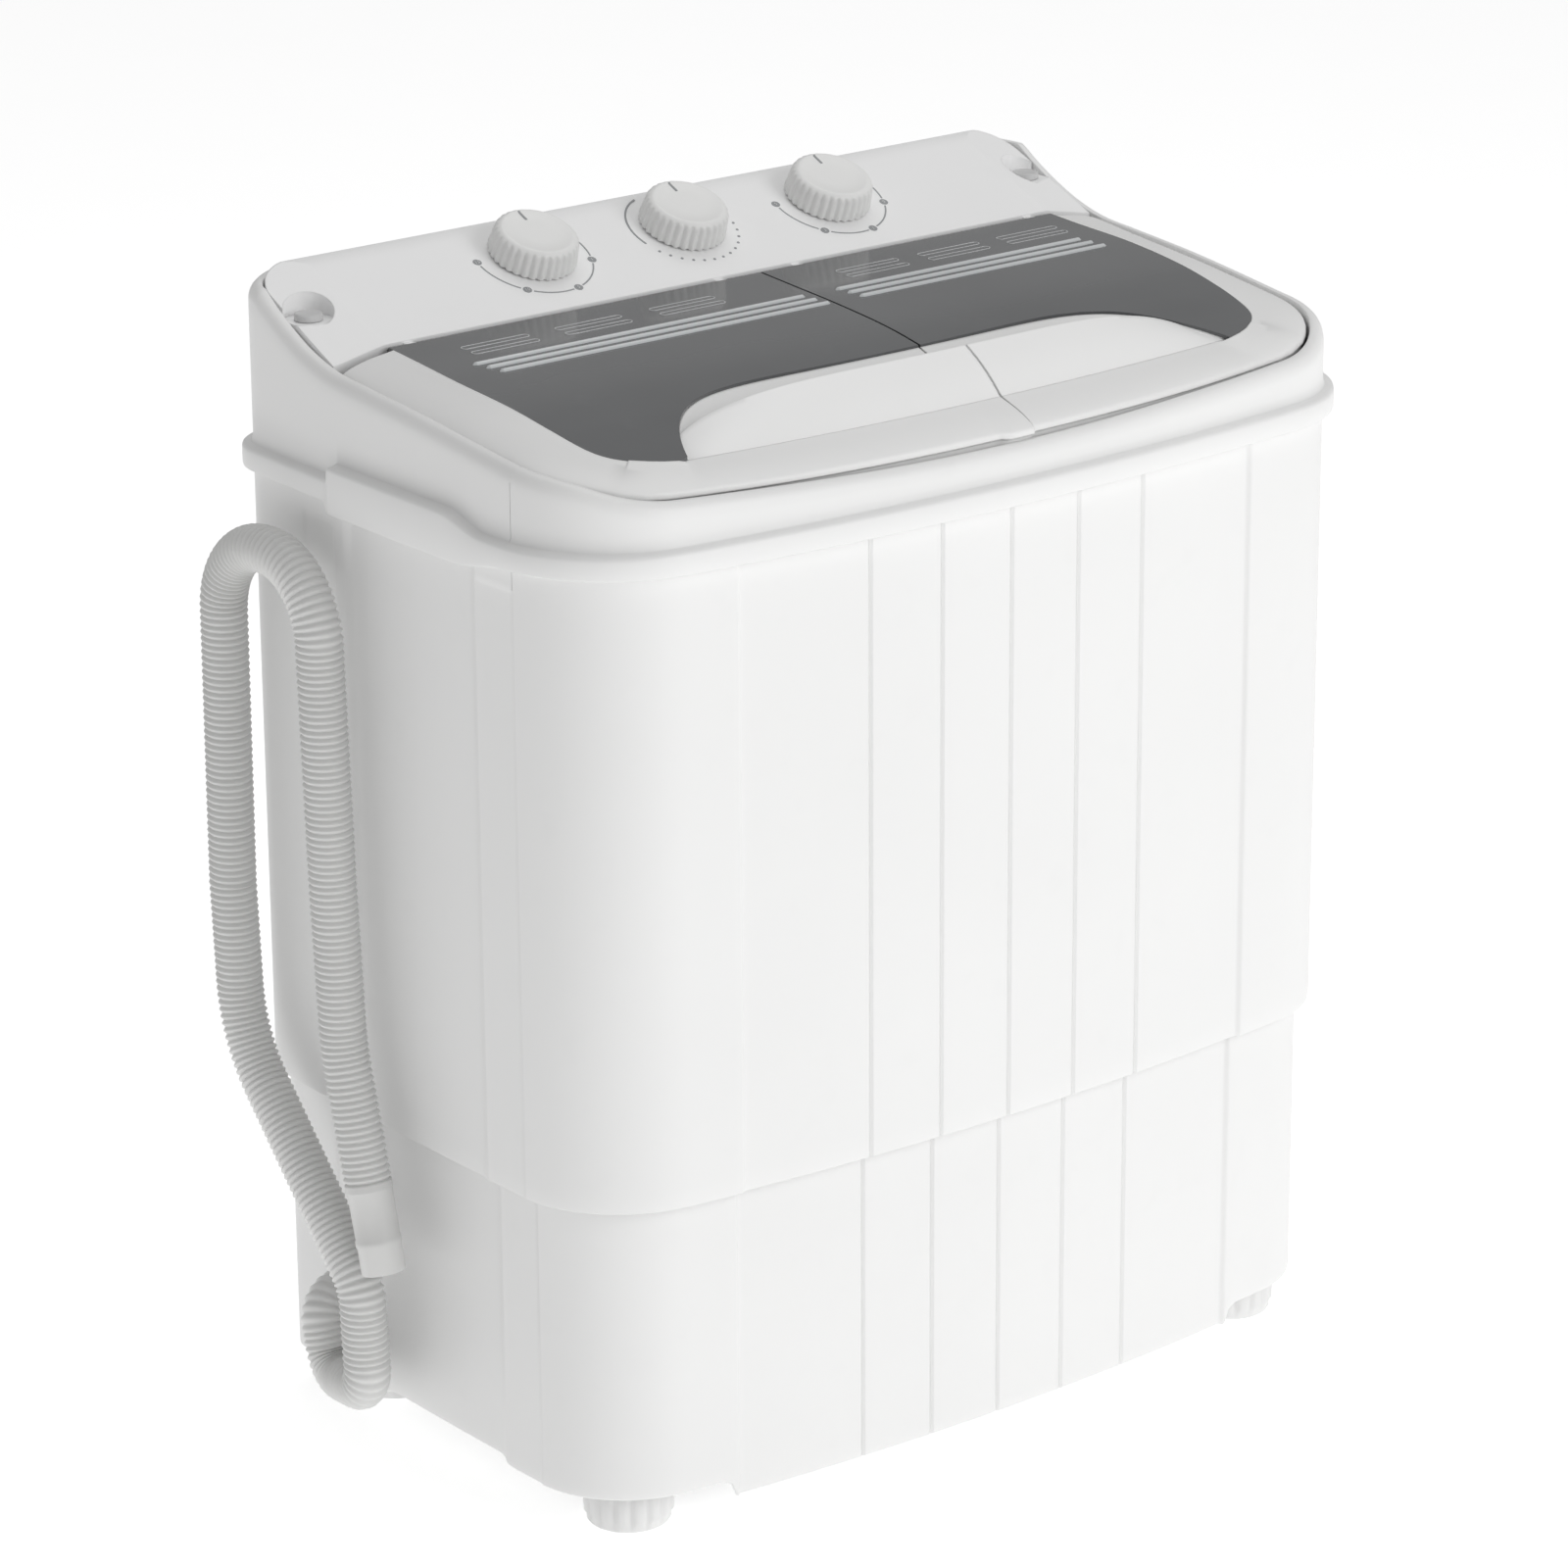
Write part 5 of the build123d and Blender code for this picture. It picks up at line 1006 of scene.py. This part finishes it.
def make_floor():
    """Pale floor that glows a little, so that it reads as white as the backdrop."""
    bpy.ops.mesh.primitive_plane_add(size=FLOOR_SIZE, location=(0, 0, 0))
    floor = bpy.context.object
    floor.name = "studio_floor"
    finish = finish_material("studio_floor", (0.93, 0.93, 0.93), 0.6, mottle=0.004, wear=0.01, edge=0.0001)
    shader = finish.node_tree.nodes["Principled BSDF"]
    shader.inputs["Emission Color"].default_value = (1, 1, 1, 1)
    shader.inputs["Emission Strength"].default_value = FLOOR_GLOW
    floor.data.materials.append(finish)


def make_sky():
    """White surroundings: dim as a light, full white where the camera sees them."""
    world = bpy.data.worlds.new("studio")
    bpy.context.scene.world = world
    world.use_nodes = True
    tree = world.node_tree
    sky = tree.nodes["Background"]
    sky.inputs["Color"].default_value = (1, 1, 1, 1)
    seen = tree.nodes.new("ShaderNodeLightPath")
    level = tree.nodes.new("ShaderNodeMapRange")
    level.inputs["To Min"].default_value = SKY_LIGHT
    level.inputs["To Max"].default_value = SKY_SEEN
    tree.links.new(seen.outputs["Is Camera Ray"], level.inputs["Value"])
    tree.links.new(level.outputs["Result"], sky.inputs["Strength"])


def soft_light(name, place, target, size, power):
    """Large rectangular light aimed at a point."""
    data = bpy.data.lights.new(name, "AREA")
    data.shape = "RECTANGLE"
    data.size, data.size_y = size
    data.energy = power
    lamp = bpy.data.objects.new(name, data)
    lamp.location = place
    lamp.rotation_euler = (Vector(target) - Vector(place)).to_track_quat("-Z", "Y").to_euler()
    bpy.context.scene.collection.objects.link(lamp)


def make_camera():
    """Long lens from the front left, above, rolled by a fraction of a degree."""
    data = bpy.data.cameras.new("photo_camera")
    data.lens = LENS
    data.sensor_width = SENSOR
    data.clip_end = 60
    camera = bpy.data.objects.new("photo_camera", data)
    bpy.context.scene.collection.objects.link(camera)
    forward = (CAMERA_TARGET - CAMERA_PLACE).normalized()
    right = forward.cross(Vector((0, 0, 1))).normalized()
    upward = right.cross(forward)
    axis_x = right * math.cos(CAMERA_ROLL) + upward * math.sin(CAMERA_ROLL)
    axis_y = upward * math.cos(CAMERA_ROLL) - right * math.sin(CAMERA_ROLL)
    turn = Matrix((axis_x, axis_y, -forward)).transposed()
    camera.matrix_world = Matrix.Translation(CAMERA_PLACE) @ turn.to_4x4()
    bpy.context.scene.camera = camera


make_floor()
make_sky()
for light in LIGHTS:
    soft_light(*light)
bpy.context.scene.view_settings.view_transform = "Standard"
make_camera()
